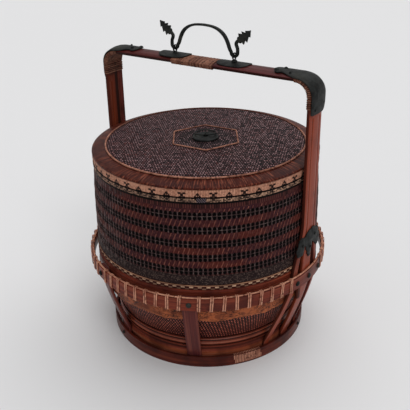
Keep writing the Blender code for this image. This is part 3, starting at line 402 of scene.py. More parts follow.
def rise(value, low, high):
    """0 below low, 1 above high, and smooth between."""
    if not isinstance(value, Field):
        return smooth((value - low) / (high - low))
    node = value.tree.nodes.new("ShaderNodeMapRange")
    node.interpolation_type = "SMOOTHSTEP"
    value.tree.links.new(value.socket, node.inputs["Value"])
    node.inputs["From Min"].default_value = low
    node.inputs["From Max"].default_value = high
    return Field(value.tree, node.outputs["Result"])


def fall(value, low, high):
    return 1.0 - rise(value, low, high)


def stripe(value, low, high):
    """1 in the middle of each whole step of a value, and 0 toward both its ends."""
    return fall(size(fract(value) - 0.5), low, high)


def shade(levels):
    """A colour as a screen shows it, 0 to 255, in linear light."""
    parts = [level / 255 for level in levels]
    return tuple(((part + 0.055) / 1.055) ** 2.4 if part > 0.04 else part / 12.92 for part in parts)


class Surface:
    """A material whose patterns are written as formulas."""

    def __init__(self, name, specular, metallic=0.0):
        self.material = bpy.data.materials.new(name)
        self.material.use_nodes = True
        self.tree = self.material.node_tree
        self.shader = self.tree.nodes["Principled BSDF"]
        self.shader.inputs["Metallic"].default_value = metallic
        self.shader.inputs["Specular IOR Level"].default_value = specular

    def parts_of(self, vector):
        node = self.tree.nodes.new("ShaderNodeSeparateXYZ")
        self.tree.links.new(vector, node.inputs[0])
        return [Field(self.tree, socket) for socket in node.outputs]

    def wrap(self):
        """(u, v) of the piece's own wrap, as its maker sets them."""
        node = self.tree.nodes.new("ShaderNodeUVMap")
        node.uv_map = "wrap"
        return self.parts_of(node.outputs[0])[:2]

    def place(self):
        node = self.tree.nodes.new("ShaderNodeTexCoord")
        return self.parts_of(node.outputs["Object"])

    def seen_place(self):
        """How far right and how far away a place is, along the camera's own turn."""
        x, y, _ = self.place()
        facing = math.radians(CAMERA_TURN_DEG)
        right = x * math.cos(facing) + y * math.sin(facing)
        return right, y * math.cos(facing) - x * math.sin(facing)

    def reach(self):
        """The distance from the basket's axis."""
        x, y, _ = self.place()
        return (x * x + y * y).math("SQRT")

    def vector(self, *fields):
        node = self.tree.nodes.new("ShaderNodeCombineXYZ")
        for slot, field in enumerate(fields):
            self.tree.links.new(field.socket, node.inputs[slot])
        return node.outputs[0]

    def noise(self, *fields, detail=3.0):
        node = self.tree.nodes.new("ShaderNodeTexNoise")
        self.tree.links.new(self.vector(*fields), node.inputs["Vector"])
        for socket, value in (("Scale", 1.0), ("Detail", detail), ("Roughness", 0.55)):
            node.inputs[socket].default_value = value
        return Field(self.tree, node.outputs["Fac"])

    def grain(self, scale, detail=3.0):
        """Even noise over the whole piece, in its own space."""
        return self.noise(*(part * scale for part in self.place()), detail=detail)

    def chance(self, *fields):
        """A number from 0 to 1 for each whole cell."""
        node = self.tree.nodes.new("ShaderNodeTexWhiteNoise")
        node.noise_dimensions = "3D"
        self.tree.links.new(self.vector(*(whole(field) for field in fields)), node.inputs["Vector"])
        return Field(self.tree, node.outputs["Value"])

    def colour(self, base, *layers):
        """Lays colours over a base, each as strongly as its field says."""
        current = shade(base)
        for amount, levels in layers:
            node = self.tree.nodes.new("ShaderNodeMix")
            node.data_type = "RGBA"
            self.tree.links.new(amount.socket, node.inputs[0])
            if isinstance(current, tuple):
                node.inputs[6].default_value = (*current, 1.0)
            else:
                self.tree.links.new(current, node.inputs[6])
            node.inputs[7].default_value = (*shade(levels), 1.0)
            current = node.outputs[2]
        self.tree.links.new(current, self.shader.inputs["Base Color"])

    def finished(self, roughness, height, depth):
        """The material, with its roughness and its fine relief."""
        node = self.tree.nodes.new("ShaderNodeBump")
        node.inputs["Distance"].default_value = depth
        self.tree.links.new(height.socket, node.inputs["Height"])
        self.tree.links.new(node.outputs[0], self.shader.inputs["Normal"])
        self.tree.links.new(roughness.socket, self.shader.inputs["Roughness"])
        return self.material


def drum_pattern(turn, z):
    """How much of a hole, of the net round the holes, of its threads and of a slanting stroke is here."""
    pair = (z - FIRST_DOTS_Z) / DOTS_PITCH + 0.5
    off = size((fract(pair) - 0.5) * DOTS_PITCH)
    zone = rise(pair, 0.02, 0.06) * fall(pair, DOT_PAIRS - 0.06, DOT_PAIRS - 0.02)
    across = size((fract(turn * STAKES) - 0.5) * STAKE_WIDTH)
    beyond = most(off - DOT_ROW_OFFSET, 0.0) / DOT_POINT
    within = most(DOT_ROW_OFFSET - off, 0.0) / DOT_HALF_HEIGHT
    wide = across / DOT_HALF_WIDTH * (1.0 + beyond * 0.9)
    hole = fall(wide * wide + beyond * beyond + within * within, 0.75, 1.2) * zone
    net = fall(off, NET_HALF * 0.8, NET_HALF) * zone
    upright = rise(across, STAKE_WIDTH / 2 - NET_LINE * 1.6, STAKE_WIDTH / 2 - NET_LINE * 0.6)
    thread = most(upright, fall(off, NET_LINE * 0.3, NET_LINE))
    stroke = stripe(turn * STAKES - z * STROKE_LEAN_PER_M, 0.04, 0.19)
    stroke = stroke * rise(off, STROKE_START, STROKE_START * 1.3) * zone
    return hole, net, thread * net, stroke


def drum_finish():
    """Dark splits, slanting strokes and rows of holes in a net, with painted glints on the camera's left."""
    surface = Surface("drum_weave", 0.06)
    turn, z = surface.wrap()
    stake = turn * STAKES
    hole, net, thread, stroke = drum_pattern(turn, z)
    top = rise(z, TOP_STROKES_Z - 1.0 * MM, TOP_STROKES_Z)
    low = fall(z, LOW_BAND_TOP - 1.5 * MM, LOW_BAND_TOP)
    line = rise(z, TOP_LINE_Z, TOP_LINE_Z + 0.4 * MM)
    fine = stripe(turn * STAKES * 2, 0.14, 0.34)
    weft = stripe(z / (1.5 * MM) + whole(turn * STAKES * 2) * 0.5, 0.15, 0.4)
    fleck = rise(surface.chance(turn * STAKES * 2, z / (2.2 * MM)), 0.5, 1.0)
    speck = rise(surface.chance(turn * STAKES * 4, z / (1.3 * MM)), 0.5, 1.0)
    chance = surface.chance(stake, z / DOTS_PITCH)
    uneven = surface.grain(38.0, 4.0)
    patch = surface.grain(14.0, 3.0)
    # Painted light on the camera's left: glints on the stakes, shade in the weft rows, paler holes.
    painted_light_side = fall(surface.seen_place()[0], -BODY_RADIUS * 0.95, -BODY_RADIUS * 0.55)
    painted_glint = stripe(stake + 0.25, 0.12, 0.3)
    painted_glint = painted_glint * rise(surface.chance(stake + 0.25, z / (5.2 * MM)), 0.35, 0.9) * painted_light_side
    surface.colour(
        (66, 29, 30),
        (rise(uneven, 0.35, 0.7) * 0.6, (50, 26, 37)),
        (rise(patch, 0.46, 0.62) * 0.7, (94, 38, 27)),
        (fleck * 0.35, (104, 62, 56)),
        (fine * 0.3, (30, 14, 15)),
        (stroke * mix(0.1, 0.85, chance), (146, 88, 74)),
        (net * 0.7, (40, 28, 29)),
        (thread * mix(0.2, 1.0, fleck), (112, 98, 94)),
        (low, (48, 34, 34)),
        (low * speck * 0.7, (112, 92, 84)),
        (low * weft * 0.6, (12, 9, 9)),
        (top, (54, 26, 27)),
        (top * fine * 0.7, (98, 54, 48)),
        (top * rise(surface.chance(turn * STAKES * 2, z * 0.0), 0.6, 0.8) * 0.6, (12, 7, 9)),
        # Painted shade in the weft rows, painted glints on the stakes, paler holes: camera's left only.
        (painted_light_side * weft * 0.35, (14, 9, 11)),
        (painted_glint * 0.5, (142, 122, 120)),
        (line, (10, 6, 6)),
        (hole * mix(1.0, 0.8, painted_light_side), (1, 1, 1)),
    )
    return surface.finished(mix(0.4, 0.65, uneven), fine * 0.4 + weft * 0.5 + stroke - hole, 0.7 * MM)


def lid_finish():
    """A fine herringbone of flat strands in broad rows, worn light flecks, dark gaps and painted sparkle."""
    surface = Surface("lid_weave", 0.06)
    right, away = surface.seen_place()
    p = right * (1.0 / LID_STRAND)
    q = away * (1.0 / LID_ROW)
    lean = rise(fract(p / 11.0), 0.49, 0.51) * 0.3 + 0.35
    place = p + whole(q) * lean
    light = stripe(place, 0.16, 0.42) * stripe(q, 0.16, 0.42)
    fleck = mix(0.1, 1.0, surface.chance(q + 40.0, place))
    red = rise(surface.chance(place + 90.0, q), 0.5, 0.95)
    uneven = surface.grain(30.0, 4.0)
    patch = surface.grain(12.0, 2.0)
    middle = fall(surface.reach(), HEXAGON_RADIUS * 0.7, HEXAGON_RADIUS * 0.8)
    tone = surface.chance(p * 1.25 + 70.0, q * 1.7)
    # strong grows toward the camera's right: it scales a painted sparkle of highlight and dark flecks.
    strong = rise(p * LID_STRAND, -LID_RADIUS * 0.5, LID_RADIUS * 0.6) * 0.5 + 0.35
    surface.colour(
        (76, 38, 37),
        (rise(patch, 0.42, 0.62) * 0.5, (66, 44, 52)),
        (red * 0.6, (118, 48, 40)),
        (rise(uneven, 0.45, 0.75) * 0.35, (44, 22, 26)),
        (light * fleck * 0.85, (160, 128, 130)),
        (fall(light, 0.05, 0.55) * 0.9, (10, 3, 6)),
        (rise(surface.chance(place, q), 0.74, 0.92) * 0.65, (18, 8, 12)),
        # Painted sparkle: highlight flecks and dark flecks, more of both toward the camera's right.
        (rise(tone, 0.62, 0.85) * light * strong, (168, 134, 136)),
        (fall(tone, 0.15, 0.4) * strong, (12, 5, 8)),
        (middle * fall(fleck * light, 0.3, 0.8) * 0.75, (10, 7, 10)),
    )
    return surface.finished(mix(0.45, 0.65, uneven), light + fleck * 0.5, 0.7 * MM)


def bowl_finish():
    """Upright strands crossed by rows that lean a little."""
    surface = Surface("bowl_weave", 0.1)
    turn, z = surface.wrap()
    row = z / BOWL_ROW
    cell = turn * BOWL_STAKES + whole(row) * BOWL_LEAN
    knot = stripe(cell, 0.12, 0.38) * stripe(row, 0.14, 0.42)
    uneven = surface.grain(40.0)
    surface.colour(
        (52, 22, 20),
        (knot * mix(0.3, 1.0, surface.chance(cell, row)), (204, 112, 92)),
        (fall(z, 46.0 * MM, 66.0 * MM) * 0.4, (104, 38, 22)),
        (fall(knot, 0.1, 0.5) * 0.75, (16, 6, 6)),
        (rise(uneven, 0.45, 0.75) * 0.3, (46, 22, 30)),
    )
    return surface.finished(mix(0.3, 0.55, uneven), knot, 0.6 * MM)


def motif(across, up, which):
    """A dark butterfly in even cells and a dark spire in odd ones. across is -1 to 1, up is 0 to 1."""
    side = size(across)
    wings = fall(size(side - 0.31), 0.17, 0.24) * fall(size(up - 0.64), 0.1, 0.17)
    legs = fall(size(side - 0.25), 0.13, 0.19) * fall(up, 0.17, 0.26)
    body = fall(side, 0.15, 0.22) * fall(size(up - 0.38), 0.2, 0.27)
    spire = fall(side * 1.35 + up, 0.74, 0.84)
    notch = fall(size(side - 0.12) * 7.0 + size(up - 0.28) * 6.0, 0.4, 0.8)
    return most(most(wings, legs), body) * (1.0 - which) + spire * (1.0 - notch) * which


def border_finish(name, node, tint, aged, gap, grey):
    """Tan splits wrapped upright, with dark motifs that stand on the seam between the two bands.

    grey is 1.0 for the upper tier's darker band, which hangs below the seam and has a splice, or else 0.0.
    """
    surface = Surface(name, 0.05)
    turn, z = surface.wrap()
    up = (z - low_of(node)) / (top_of(node) - low_of(node))
    if grey:
        up = 1.0 - up
    cell = turn * BORDER_MOTIFS
    which = rise(fract(whole(cell) * 0.5), 0.2, 0.3)
    dark = motif((fract(cell) - 0.5) * 2.0, up * mix(1.1, 1.0, grey), which)
    wraps = stripe(turn * BORDER_WRAPS, 0.2, 0.46)
    chance = surface.chance(turn * BORDER_WRAPS, z * 0.0)
    speck = surface.chance(turn * BORDER_WRAPS, z / (1.5 * MM))
    uneven = surface.grain(26.0, 4.0)
    blot = rise(surface.grain(150.0, 2.0), 0.46, 0.56)
    splice = fall(size(turn - SPLICE_TURN), 0.0052, 0.0062) * grey
    knots = rise(wave(turn * 360.0 + z * 300.0), 0.1, 0.6)
    surface.colour(
        tint,
        (rise(uneven, 0.45, 0.75) * 0.6, aged),
        (rise(chance, 0.45, 1.0) * 0.5, aged),
        (rise(speck, 0.5, 0.75) * mix(0.35, 0.85, grey), gap),
        (fall(wraps, 0.1, 0.7) * 0.6, gap),
        (blot * (0.45 * grey), (50, 38, 38)),
        (dark * mix(0.97, 0.9, grey), (14, 10, 12)),
        (fall(up, 0.08, 0.13), (8, 5, 6)),
        (rise(up, 0.88, 0.95) * mix(0.25, 1.0, grey), (10, 6, 7)),
        (splice * 0.95, (24, 20, 28)),
        (splice * knots * 0.8, (118, 104, 108)),
    )
    return surface.finished(mix(0.5, 0.65, uneven), wraps - dark * 0.5, 0.4 * MM)


def dash_finish():
    """Two rows of pale squares, faint below and strong above, under a light line."""
    surface = Surface("dash_border", 0.06)
    turn, z = surface.wrap()
    up = (z - low_of("tier_border")) / DASH_ROW
    upper = rise(up, 0.98, 1.02)
    cell = turn * DASHES + upper * 0.5
    square = stripe(cell, 0.2, 0.26) * stripe(up, 0.38, 0.46) * fall(up, 1.98, 2.0)
    dash = square * mix(0.35, 1.0, upper)
    light = rise(up, 2.05, 2.15) * fall(up, 2.55, 2.7)
    threads = stripe(turn * BORDER_WRAPS, 0.2, 0.46)
    uneven = surface.grain(30.0)
    surface.colour(
        (46, 18, 17),
        (threads * 0.4, (84, 36, 28)),
        (dash * mix(0.35, 1.0, surface.chance(cell, up)), (220, 178, 146)),
        (light * mix(0.2, 1.0, surface.grain(90.0)), (204, 154, 120)),
        (rise(uneven, 0.5, 0.7) * 0.5, (40, 20, 19)),
    )
    return surface.finished(mix(0.5, 0.65, uneven), threads + dash + light, 0.3 * MM)


def bamboo_finish(name, skin, deep, worn, hoop=True):
    """Lacquered bamboo: long streaks along the grain, dark stains, worn sheen. Straps darken at the foot."""
    surface = Surface(name, 0.12)
    across, run = surface.wrap()
    if hoop:
        across, run = run, across * (TURN * BODY_RADIUS)
    fibres = surface.noise(across * 900.0, run * 9.0, detail=4.0)
    broad = surface.noise(across * 180.0, run * 3.0, detail=2.0)
    scratch = surface.noise(across * 1980.0, run * 30.0, detail=2.0)
    stain = surface.grain(22.0, 5.0)
    # Darker toward the foot of a strap; hoops are left as they are.
    foot_dark = fall(surface.place()[2], FOOT_DARK_Z * 0.5, FOOT_DARK_Z)
    surface.colour(
        skin,
        (rise(fibres, 0.38, 0.66) * 0.6, deep),
        (rise(broad, 0.48, 0.66) * 0.7, worn),
        (rise(stain, 0.48, 0.68) * 0.8, deep),
        (rise(scratch, 0.62, 0.72) * 0.5, worn),
        (foot_dark * (0.0 if hoop else 0.8), (22, 14, 18)),
    )
    return surface.finished(stain * 0.2 + 0.26, fibres, 0.15 * MM)


def culm_finish(inside):
    """The culm's skin, purple-brown on the bar, or its bare inner side with painted shade just off its
    middle.
    """
    surface = Surface("culm_inside" if inside else "culm_skin", 0.07)
    across, run = surface.wrap()
    height = surface.place()[2]
    fibres = surface.noise(across * 900.0, run * 8.0, detail=4.0)
    broad = surface.noise(across * 150.0, run * 3.0, detail=2.0)
    scratch = surface.noise(across * 1900.0, run * 26.0, detail=2.0)
    stain = surface.grain(24.0, 5.0)
    # Darker toward the foot of a tongue.
    foot_dark = fall(height, FOOT_DARK_Z * 0.5, FOOT_DARK_Z)
    bar = rise(height, BAR_TINT_Z - 8.0 * MM, BAR_TINT_Z)
    if inside:
        # Painted shadow: a dark run just off the middle of the inner face.
        shadow = fall(size(across - 3.0 * MM), 2.0 * MM, 4.5 * MM)
        edge = rise(size(across), HALF_CULM - 1.5 * MM, HALF_CULM - 0.4 * MM)
        surface.colour(
            (112, 46, 26),
            (rise(fibres, 0.38, 0.66) * 0.7, (60, 22, 13)),
            (rise(broad, 0.5, 0.7) * 0.6, (128, 60, 34)),
            (rise(across, 6.0 * MM, 9.0 * MM) * 0.7, (92, 44, 42)),
            (shadow * 0.9, (24, 10, 8)),
            (rise(stain, 0.5, 0.7) * 0.7, (40, 17, 12)),
            (edge * 0.7, (52, 22, 18)),
            (bar * 0.85, (40, 18, 17)),
            (foot_dark * 0.7, (22, 14, 17)),
        )
    else:
        surface.colour(
            (136, 58, 37),
            (rise(fibres, 0.38, 0.66) * 0.35, (84, 34, 27)),
            (rise(broad, 0.48, 0.66) * 0.5, (146, 82, 68)),
            (rise(stain, 0.48, 0.68) * 0.7, (88, 38, 28)),
            (rise(scratch, 0.6, 0.7) * 0.6, (166, 92, 62)),
            (bar * 0.92, (66, 24, 24)),
            (bar * rise(broad, 0.48, 0.66) * 0.6, (98, 52, 54)),
            (bar * rise(stain, 0.5, 0.66) * 0.8, (58, 24, 25)),
            (foot_dark * 0.8, (22, 14, 17)),
        )
    return surface.finished(stain * 0.2 + (0.45 if inside else 0.24), fibres, 0.15 * MM)


def base_finish():
    """Glossy red-brown base lacquer: worn orange and painted highlights on rolls, painted shade in grooves.
    """
    surface = Surface("base_lacquer", 0.12)
    turn, z = surface.wrap()
    run = turn * (TURN * BODY_RADIUS)
    fibres = surface.noise(z * 700.0, run * 8.0, detail=4.0)
    # Noise for painted highlight streaks on the rolls.
    painted_highlight_streaks = surface.noise(z * 300.0, run * 4.0, detail=2.0)
    stain = surface.grain(24.0, 5.0)
    reach = surface.reach()
    # The grooves get painted shade; the raised rolls get worn orange and painted highlights.
    groove = fall(reach, BASE_RADIUS - 1.1 * MM, BASE_RADIUS - 0.4 * MM)
    proud = rise(reach, BASE_RADIUS - 0.35 * MM, BASE_RADIUS - 0.05 * MM)
    surface.colour(
        (118, 52, 38),
        (rise(fibres, 0.38, 0.66) * 0.6, (62, 24, 17)),
        # Worn orange lacquer and painted highlights on the rolls.
        (proud * rise(stain, 0.3, 0.6) * 0.7, (166, 88, 56)),
        (proud * rise(painted_highlight_streaks, 0.48, 0.62) * 0.7, (150, 100, 84)),
        (rise(stain, 0.5, 0.7) * 0.6, (44, 15, 12)),
        # Painted shade in the grooves.
        (groove * 0.9, (16, 6, 5)),
    )
    return surface.finished(stain * 0.2 + 0.18, fibres, 0.15 * MM)


def shoulder_finish():
    """Red-brown lacquer over fine strands that run from the lid's edge to its rim cane."""
    surface = Surface("shoulder_lacquer", 0.06)
    turn, z = surface.wrap()
    strands = surface.noise(turn * 900.0, z * 120.0)
    worn = surface.noise(turn * 800.0 + 50.0, z * 260.0)
    stain = surface.grain(20.0, 5.0)
    surface.colour(
        (80, 30, 19),
        (rise(strands, 0.42, 0.58) * 0.85, (32, 12, 10)),
        (rise(worn, 0.54, 0.62) * 0.6, (156, 88, 66)),
        (rise(stain, 0.44, 0.66) * 0.6, (46, 22, 24)),
    )
    return surface.finished(mix(0.26, 0.5, worn), strands + worn * 0.6, 0.3 * MM)


def cane_finish(name, tint, aged, dark, worn_away, wound):
    """Peeled cane. Each strand starts a whole metre further on in its wrap, and takes its own tone.

    wound is 1.0 where turns lie close, with painted shade in the seams and stronger tones, or else 0.0.
    """
    surface = Surface(name, 0.08)
    across, run = surface.wrap()
    fibres = surface.noise(across * 6.0, run * 120.0)
    strand = surface.chance(run, run * 0.0)
    # Painted shade along each strand's sides, in the seams where close turns meet.
    seam = rise(size(across - 0.5), 0.3, 0.5)
    stain = surface.grain(70.0, 4.0)
    dirt = surface.grain(240.0)
    surface.colour(
        tint,
        (strand * mix(0.3, 0.7, wound), aged),
        (rise(strand, 0.6, 0.7) * (0.56 * wound), dark),
        (seam * (0.8 * wound), dark),
        (rise(fibres, 0.4, 0.62) * 0.5, aged),
        (rise(stain, 0.45, 0.65) * 0.7, aged),
        (rise(dirt, worn_away, worn_away + 0.12) * 0.75, dark),
    )
    return surface.finished(mix(0.45, 0.65, stain), fibres + dirt, 0.25 * MM)


def rim_cane_finish():
    """The lid's thin canes: paler than the rest, with painted shade toward the basket's far side."""
    surface = Surface("rim_cane", 0.06)
    stain = surface.grain(60.0, 4.0)
    dirt = surface.grain(260.0)
    surface.colour(
        (172, 120, 100),
        (rise(stain, 0.42, 0.62) * 0.6, (120, 74, 60)),
        # Painted shade, darker toward the side of the basket away from the camera.
        (rise(surface.seen_place()[1], 0.0, 90.0 * MM) * 0.8, (78, 44, 38)),
        (rise(dirt, 0.5, 0.64) * 0.7, (60, 34, 30)),
    )
    return surface.finished(mix(0.45, 0.65, stain), dirt, 0.2 * MM)


def iron_finish():
    surface = Surface("forged_iron", 0.12, metallic=0.15)
    scale = surface.grain(110.0, 5.0)
    patches = surface.grain(28.0, 4.0)
    pits = surface.grain(420.0)
    surface.colour(
        (33, 35, 34),
        (rise(scale, 0.42, 0.62) * 0.8, (14, 15, 15)),
        (rise(patches, 0.52, 0.68) * 0.6, (56, 56, 50)),
        (rise(pits, 0.6, 0.72) * 0.5, (58, 42, 34)),
    )
    return surface.finished(mix(0.42, 0.7, scale), scale + pits * 0.6, 0.45 * MM)


def apron_finish():
    """Orange-brown bamboo skin with a faint cut pattern of curling lines and a pale lower edge."""
    surface = Surface("apron_skin", 0.1)
    turn, z = surface.wrap()
    run = turn * (TURN * BODY_RADIUS)
    swirl = surface.noise(run * 62.0, z * 95.0, detail=1.0)
    faint = rise(surface.noise(run * 24.0, z * 30.0, detail=2.0), 0.34, 0.52)
    line = stripe(swirl * 8.0, 0.06, 0.24) * faint
    mottle = surface.grain(120.0, 4.0)
    fibres = surface.noise(run * 1400.0, z * 12.0)
    stain = surface.grain(34.0, 4.0)
    scallop = size(wave(turn * APRON_WAVES)) * APRON_SCALLOP
    edge = fall(z - scallop, APRON_LOW + 0.6 * MM, APRON_LOW + 2.0 * MM)
    surface.colour(
        (166, 90, 54),
        (rise(fibres, 0.4, 0.65) * 0.35, (112, 52, 30)),
        (rise(stain, 0.42, 0.62) * 0.75, (96, 44, 28)),
        (rise(mottle, 0.48, 0.6) * 0.6, (84, 38, 26)),
        (line * 0.85, (44, 20, 14)),
        (edge * 0.3, (160, 92, 58)),
    )
    return surface.finished(mix(0.34, 0.55, stain), fibres * 0.3 - line, 0.35 * MM)


def inside_finish():
    """Bare upright strips on the collars."""
    surface = Surface("inner_bamboo", 0.15)
    turn, z = surface.wrap()
    strips = surface.chance(turn * 90.0, z * 0.0)
    cell = stripe(turn * 90.0, 0.42, 0.5) * stripe(z / (4.0 * MM), 0.4, 0.5)
    stain = surface.grain(26.0, 4.0)
    surface.colour(
        (88, 48, 34),
        (strips * 0.4, (62, 30, 23)),
        (rise(stain, 0.45, 0.7) * 0.5, (54, 27, 21)),
        (fall(cell, 0.2, 0.7) * 0.6, (30, 15, 12)),
    )
    return surface.finished(mix(0.5, 0.7, stain), cell, 0.3 * MM)


def floor_finish():
    surface = Surface("studio_floor", 0.1)
    surface.colour((226, 226, 227), (rise(surface.grain(0.5), 0.3, 0.8) * 0.06, (214, 214, 216)))
    surface.shader.inputs["Roughness"].default_value = 0.9
    return surface.material


# Each finish by name: its material, and a material slot name that nothing here reads
FINISH = {
    "drum": (drum_finish(), "purple_brown_weave"),
    "lid": (lid_finish(), "purple_brown_weave"),
    "bowl": (bowl_finish(), "purple_brown_weave"),
    "light_border": (border_finish(
        "light_border", "lid_border_band", (208, 152, 126), (164, 108, 84), (84, 48, 38), 0.0
    ), "tan_border"),
    "grey_border": (border_finish(
        "grey_border", "tier_top_rim", (194, 152, 126), (104, 78, 68), (32, 21, 20), 1.0
    ), "tan_border"),
    "dash_border": (dash_finish(), "tan_border"),
    "culm": (culm_finish(False), "red_brown_bamboo"),
    "culm_inside": (culm_finish(True), "dark_bamboo"),
    "strap": (bamboo_finish(
        "strap_skin", (94, 42, 37), (52, 23, 30), (122, 66, 54), hoop=False
    ), "red_brown_bamboo"),
    "hoop": (bamboo_finish("hoop_lacquer", (116, 48, 33), (56, 21, 17), (146, 72, 48)), "lacquered_hoop"),
    "foot_hoop": (bamboo_finish(
        "foot_lacquer", (88, 34, 24), (44, 17, 15), (118, 56, 38)
    ), "foot_hoop_bamboo"),
    "base_hoop": (base_finish(), "lacquered_hoop"),
    "shoulder": (shoulder_finish(), "glossy_lacquer"),
    "cane": (cane_finish(
        "light_cane", (218, 160, 132), (146, 88, 70), (62, 30, 24), 0.55, 0.0
    ), "light_cane"),
    "dark_cane": (cane_finish(
        "dark_cane", (158, 112, 90), (96, 54, 42), (24, 14, 13), 0.56, 1.0
    ), "light_cane"),
    "rim_cane": (rim_cane_finish(), "light_cane"),
    "iron": (iron_finish(), "forged_iron"),
    "apron": (apron_finish(), "orange_brown_bamboo"),
    "inside": (inside_finish(), "dark_bamboo"),
}


def shown(name, data):
    made = bpy.data.objects.new(name, data)
    bpy.context.scene.collection.objects.link(made)
    return made


def piece_from(name, points, faces, finish, replaced=None, body="stand", wraps=None, sharp_deg=50.0):
    """A mesh that rides on a body. It replaces the node it is named after, or else the nodes given."""
    material, slot = FINISH[finish]
    mesh = bpy.data.meshes.new(name)
    mesh.from_pydata([tuple(point) for point in points], [], faces)
    if wraps:
        layer = mesh.uv_layers.new(name="wrap")
        layer.data.foreach_set("uv", [value for pair in wraps for value in pair])
    work = bmesh.new()
    work.from_mesh(mesh)
    bmesh.ops.recalc_face_normals(work, faces=work.faces)
    work.to_mesh(mesh)
    work.free()
    mesh.materials.append(material)
    mesh.shade_smooth()
    mesh.set_sharp_from_angle(angle=math.radians(sharp_deg))
    made = shown(name, mesh)
    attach(made, body)
    nodes = [name.removesuffix("_look")] if replaced is None else replaced
    if nodes:
        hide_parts(*nodes)
    return made


def rounded(made, levels):
    modifier = made.modifiers.new("Rounding", "SUBSURF")
    modifier.levels = levels
    modifier.render_levels = levels


def grid_faces(rows, columns, closed, start=0):
    """The quads of a grid whose columns go round, and each corner's (row, column) counted past the seam."""
    faces, corners = [], []
    for row in range(rows if closed else rows - 1):
        for column in range(columns):
            quad = ((row, column), (row, column + 1), (row + 1, column + 1), (row + 1, column))
            faces.append([start + (r % rows) * columns + c % columns for r, c in quad])
            corners.extend(quad)
    return faces, corners


def close_ends(faces, wraps, rows, columns, start=0):
    """Adds a face over the first and the last row of such a grid."""
    last = start + (rows - 1) * columns
    for ring in (range(start, start + columns), reversed(range(last, last + columns))):
        faces.append(list(ring))
        wraps.extend([(0.0, 0.0)] * columns)


def band_outline(outer, wall, low, high, edge, bulge=0.0, rolls=()):
    """The rounded outline of a plain hoop, as (radius, z), starting at its lower inner edge.

    rolls are the shares of the height, from the top, at which one roll of the hoop's face meets the next.
    """
    inner = outer - wall
    points = [(inner, low + edge), (inner, high - edge), (inner + edge, high)]
    points += [(outer - edge, high), (outer - edge * 0.3, high - edge * 0.3)]
    ends = (0.0, *rolls, 1.0)
    steps = (0.0, 0.08, 0.25, 0.5, 0.75, 0.92, 1.0) if rolls else (0.1, 0.3, 0.5, 0.7, 0.9)
    for first, last in zip(ends, ends[1:]):
        for share in steps:
            z = mix(high - edge, low + edge, mix(first, last, share))
            points.append((outer - bulge * (2 * share - 1) ** 2, z))
    points += [(outer - edge * 0.3, low + edge * 0.3), (outer - edge, low), (inner + edge, low)]
    return points


def round_point(radius, turn, z):
    return (radius * math.cos(TURN * turn), radius * math.sin(TURN * turn), z)


def lathe(
    name, outline, finish, replaced=None, body="stand", steps=ROUND_STEPS, relief=None, relief_rows=()
):
    """A closed outline of (radius, z), turned about Z. relief(turn, z) moves its chosen rows out or in."""
    points = []
    for row, (radius, z) in enumerate(outline):
        for step in range(steps):
            out = relief(step / steps, z) if row in relief_rows else 0.0
            points.append(round_point(radius + out, step / steps, z))
    faces, corners = grid_faces(len(outline), steps, True)
    wraps = [(column / steps, outline[row % len(outline)][1]) for row, column in corners]
    return piece_from(name, points, faces, finish, replaced, body, wraps)


def sweep(path, normals, halves, sides=8, closed=False, power=1.0, start=0, strand=0):
    """A rod along a path. halves are (across, thick) half sizes, thick along the normal.

    normals and halves are lists, or one value for the whole path.
    """
    count = len(path)
    path = [Vector(point) for point in path]
    normals = [normals] * count if isinstance(normals, tuple) else normals
    halves = [halves] * count if isinstance(halves, tuple) else halves
    points, lengths = [], [float(strand)]
    for k in range(count):
        before = path[k - 1] if closed or k > 0 else path[0]
        after = path[(k + 1) % count] if closed or k < count - 1 else path[-1]
        heading = (after - before).normalized()
        normal = Vector(normals[k])
        normal = (normal - heading * normal.dot(heading)).normalized()
        across = heading.cross(normal)
        for side in range(sides):
            turn = TURN * (side + 0.5) / sides
            out = squared(math.cos(turn), power) * halves[k][0]
            deep = squared(math.sin(turn), power) * halves[k][1]
            points.append(path[k] + across * out + normal * deep)
        lengths.append(lengths[-1] + (path[(k + 1) % count] - path[k]).length)
    faces, corners = grid_faces(count, sides, closed, start)
    wraps = [(column / sides, lengths[row]) for row, column in corners]
    if not closed:
        close_ends(faces, wraps, count, sides, start)
    return points, faces, wraps


def rods(name, parts, finish, replaced=None, body="stand"):
    """Several swept rods in one mesh. Each part is the arguments of one sweep."""
    points, faces, wraps = [], [], []
    for part in parts:
        made = sweep(start=len(points), **part)
        points += made[0]
        faces += made[1]
        wraps += made[2]
    return piece_from(name, points, faces, finish, replaced, body, wraps)


def rope_of(points, steps):
    """A smooth run through points of any number of values, as a cubic curve from each to the next."""
    ends = [points[0], *points, points[-1]]
    run = []
    for k in range(1, len(ends) - 2):
        for step in range(steps):
            t = step / steps
            run.append(tuple(
                0.5 * (2 * b + (c - a) * t + (2 * a - 5 * b + 4 * c - d) * t * t
                       + (3 * b - a - 3 * c + d) * t ** 3)
                for a, b, c, d in zip(ends[k - 1], ends[k], ends[k + 1], ends[k + 2])
            ))
    return run + [tuple(points[-1])]


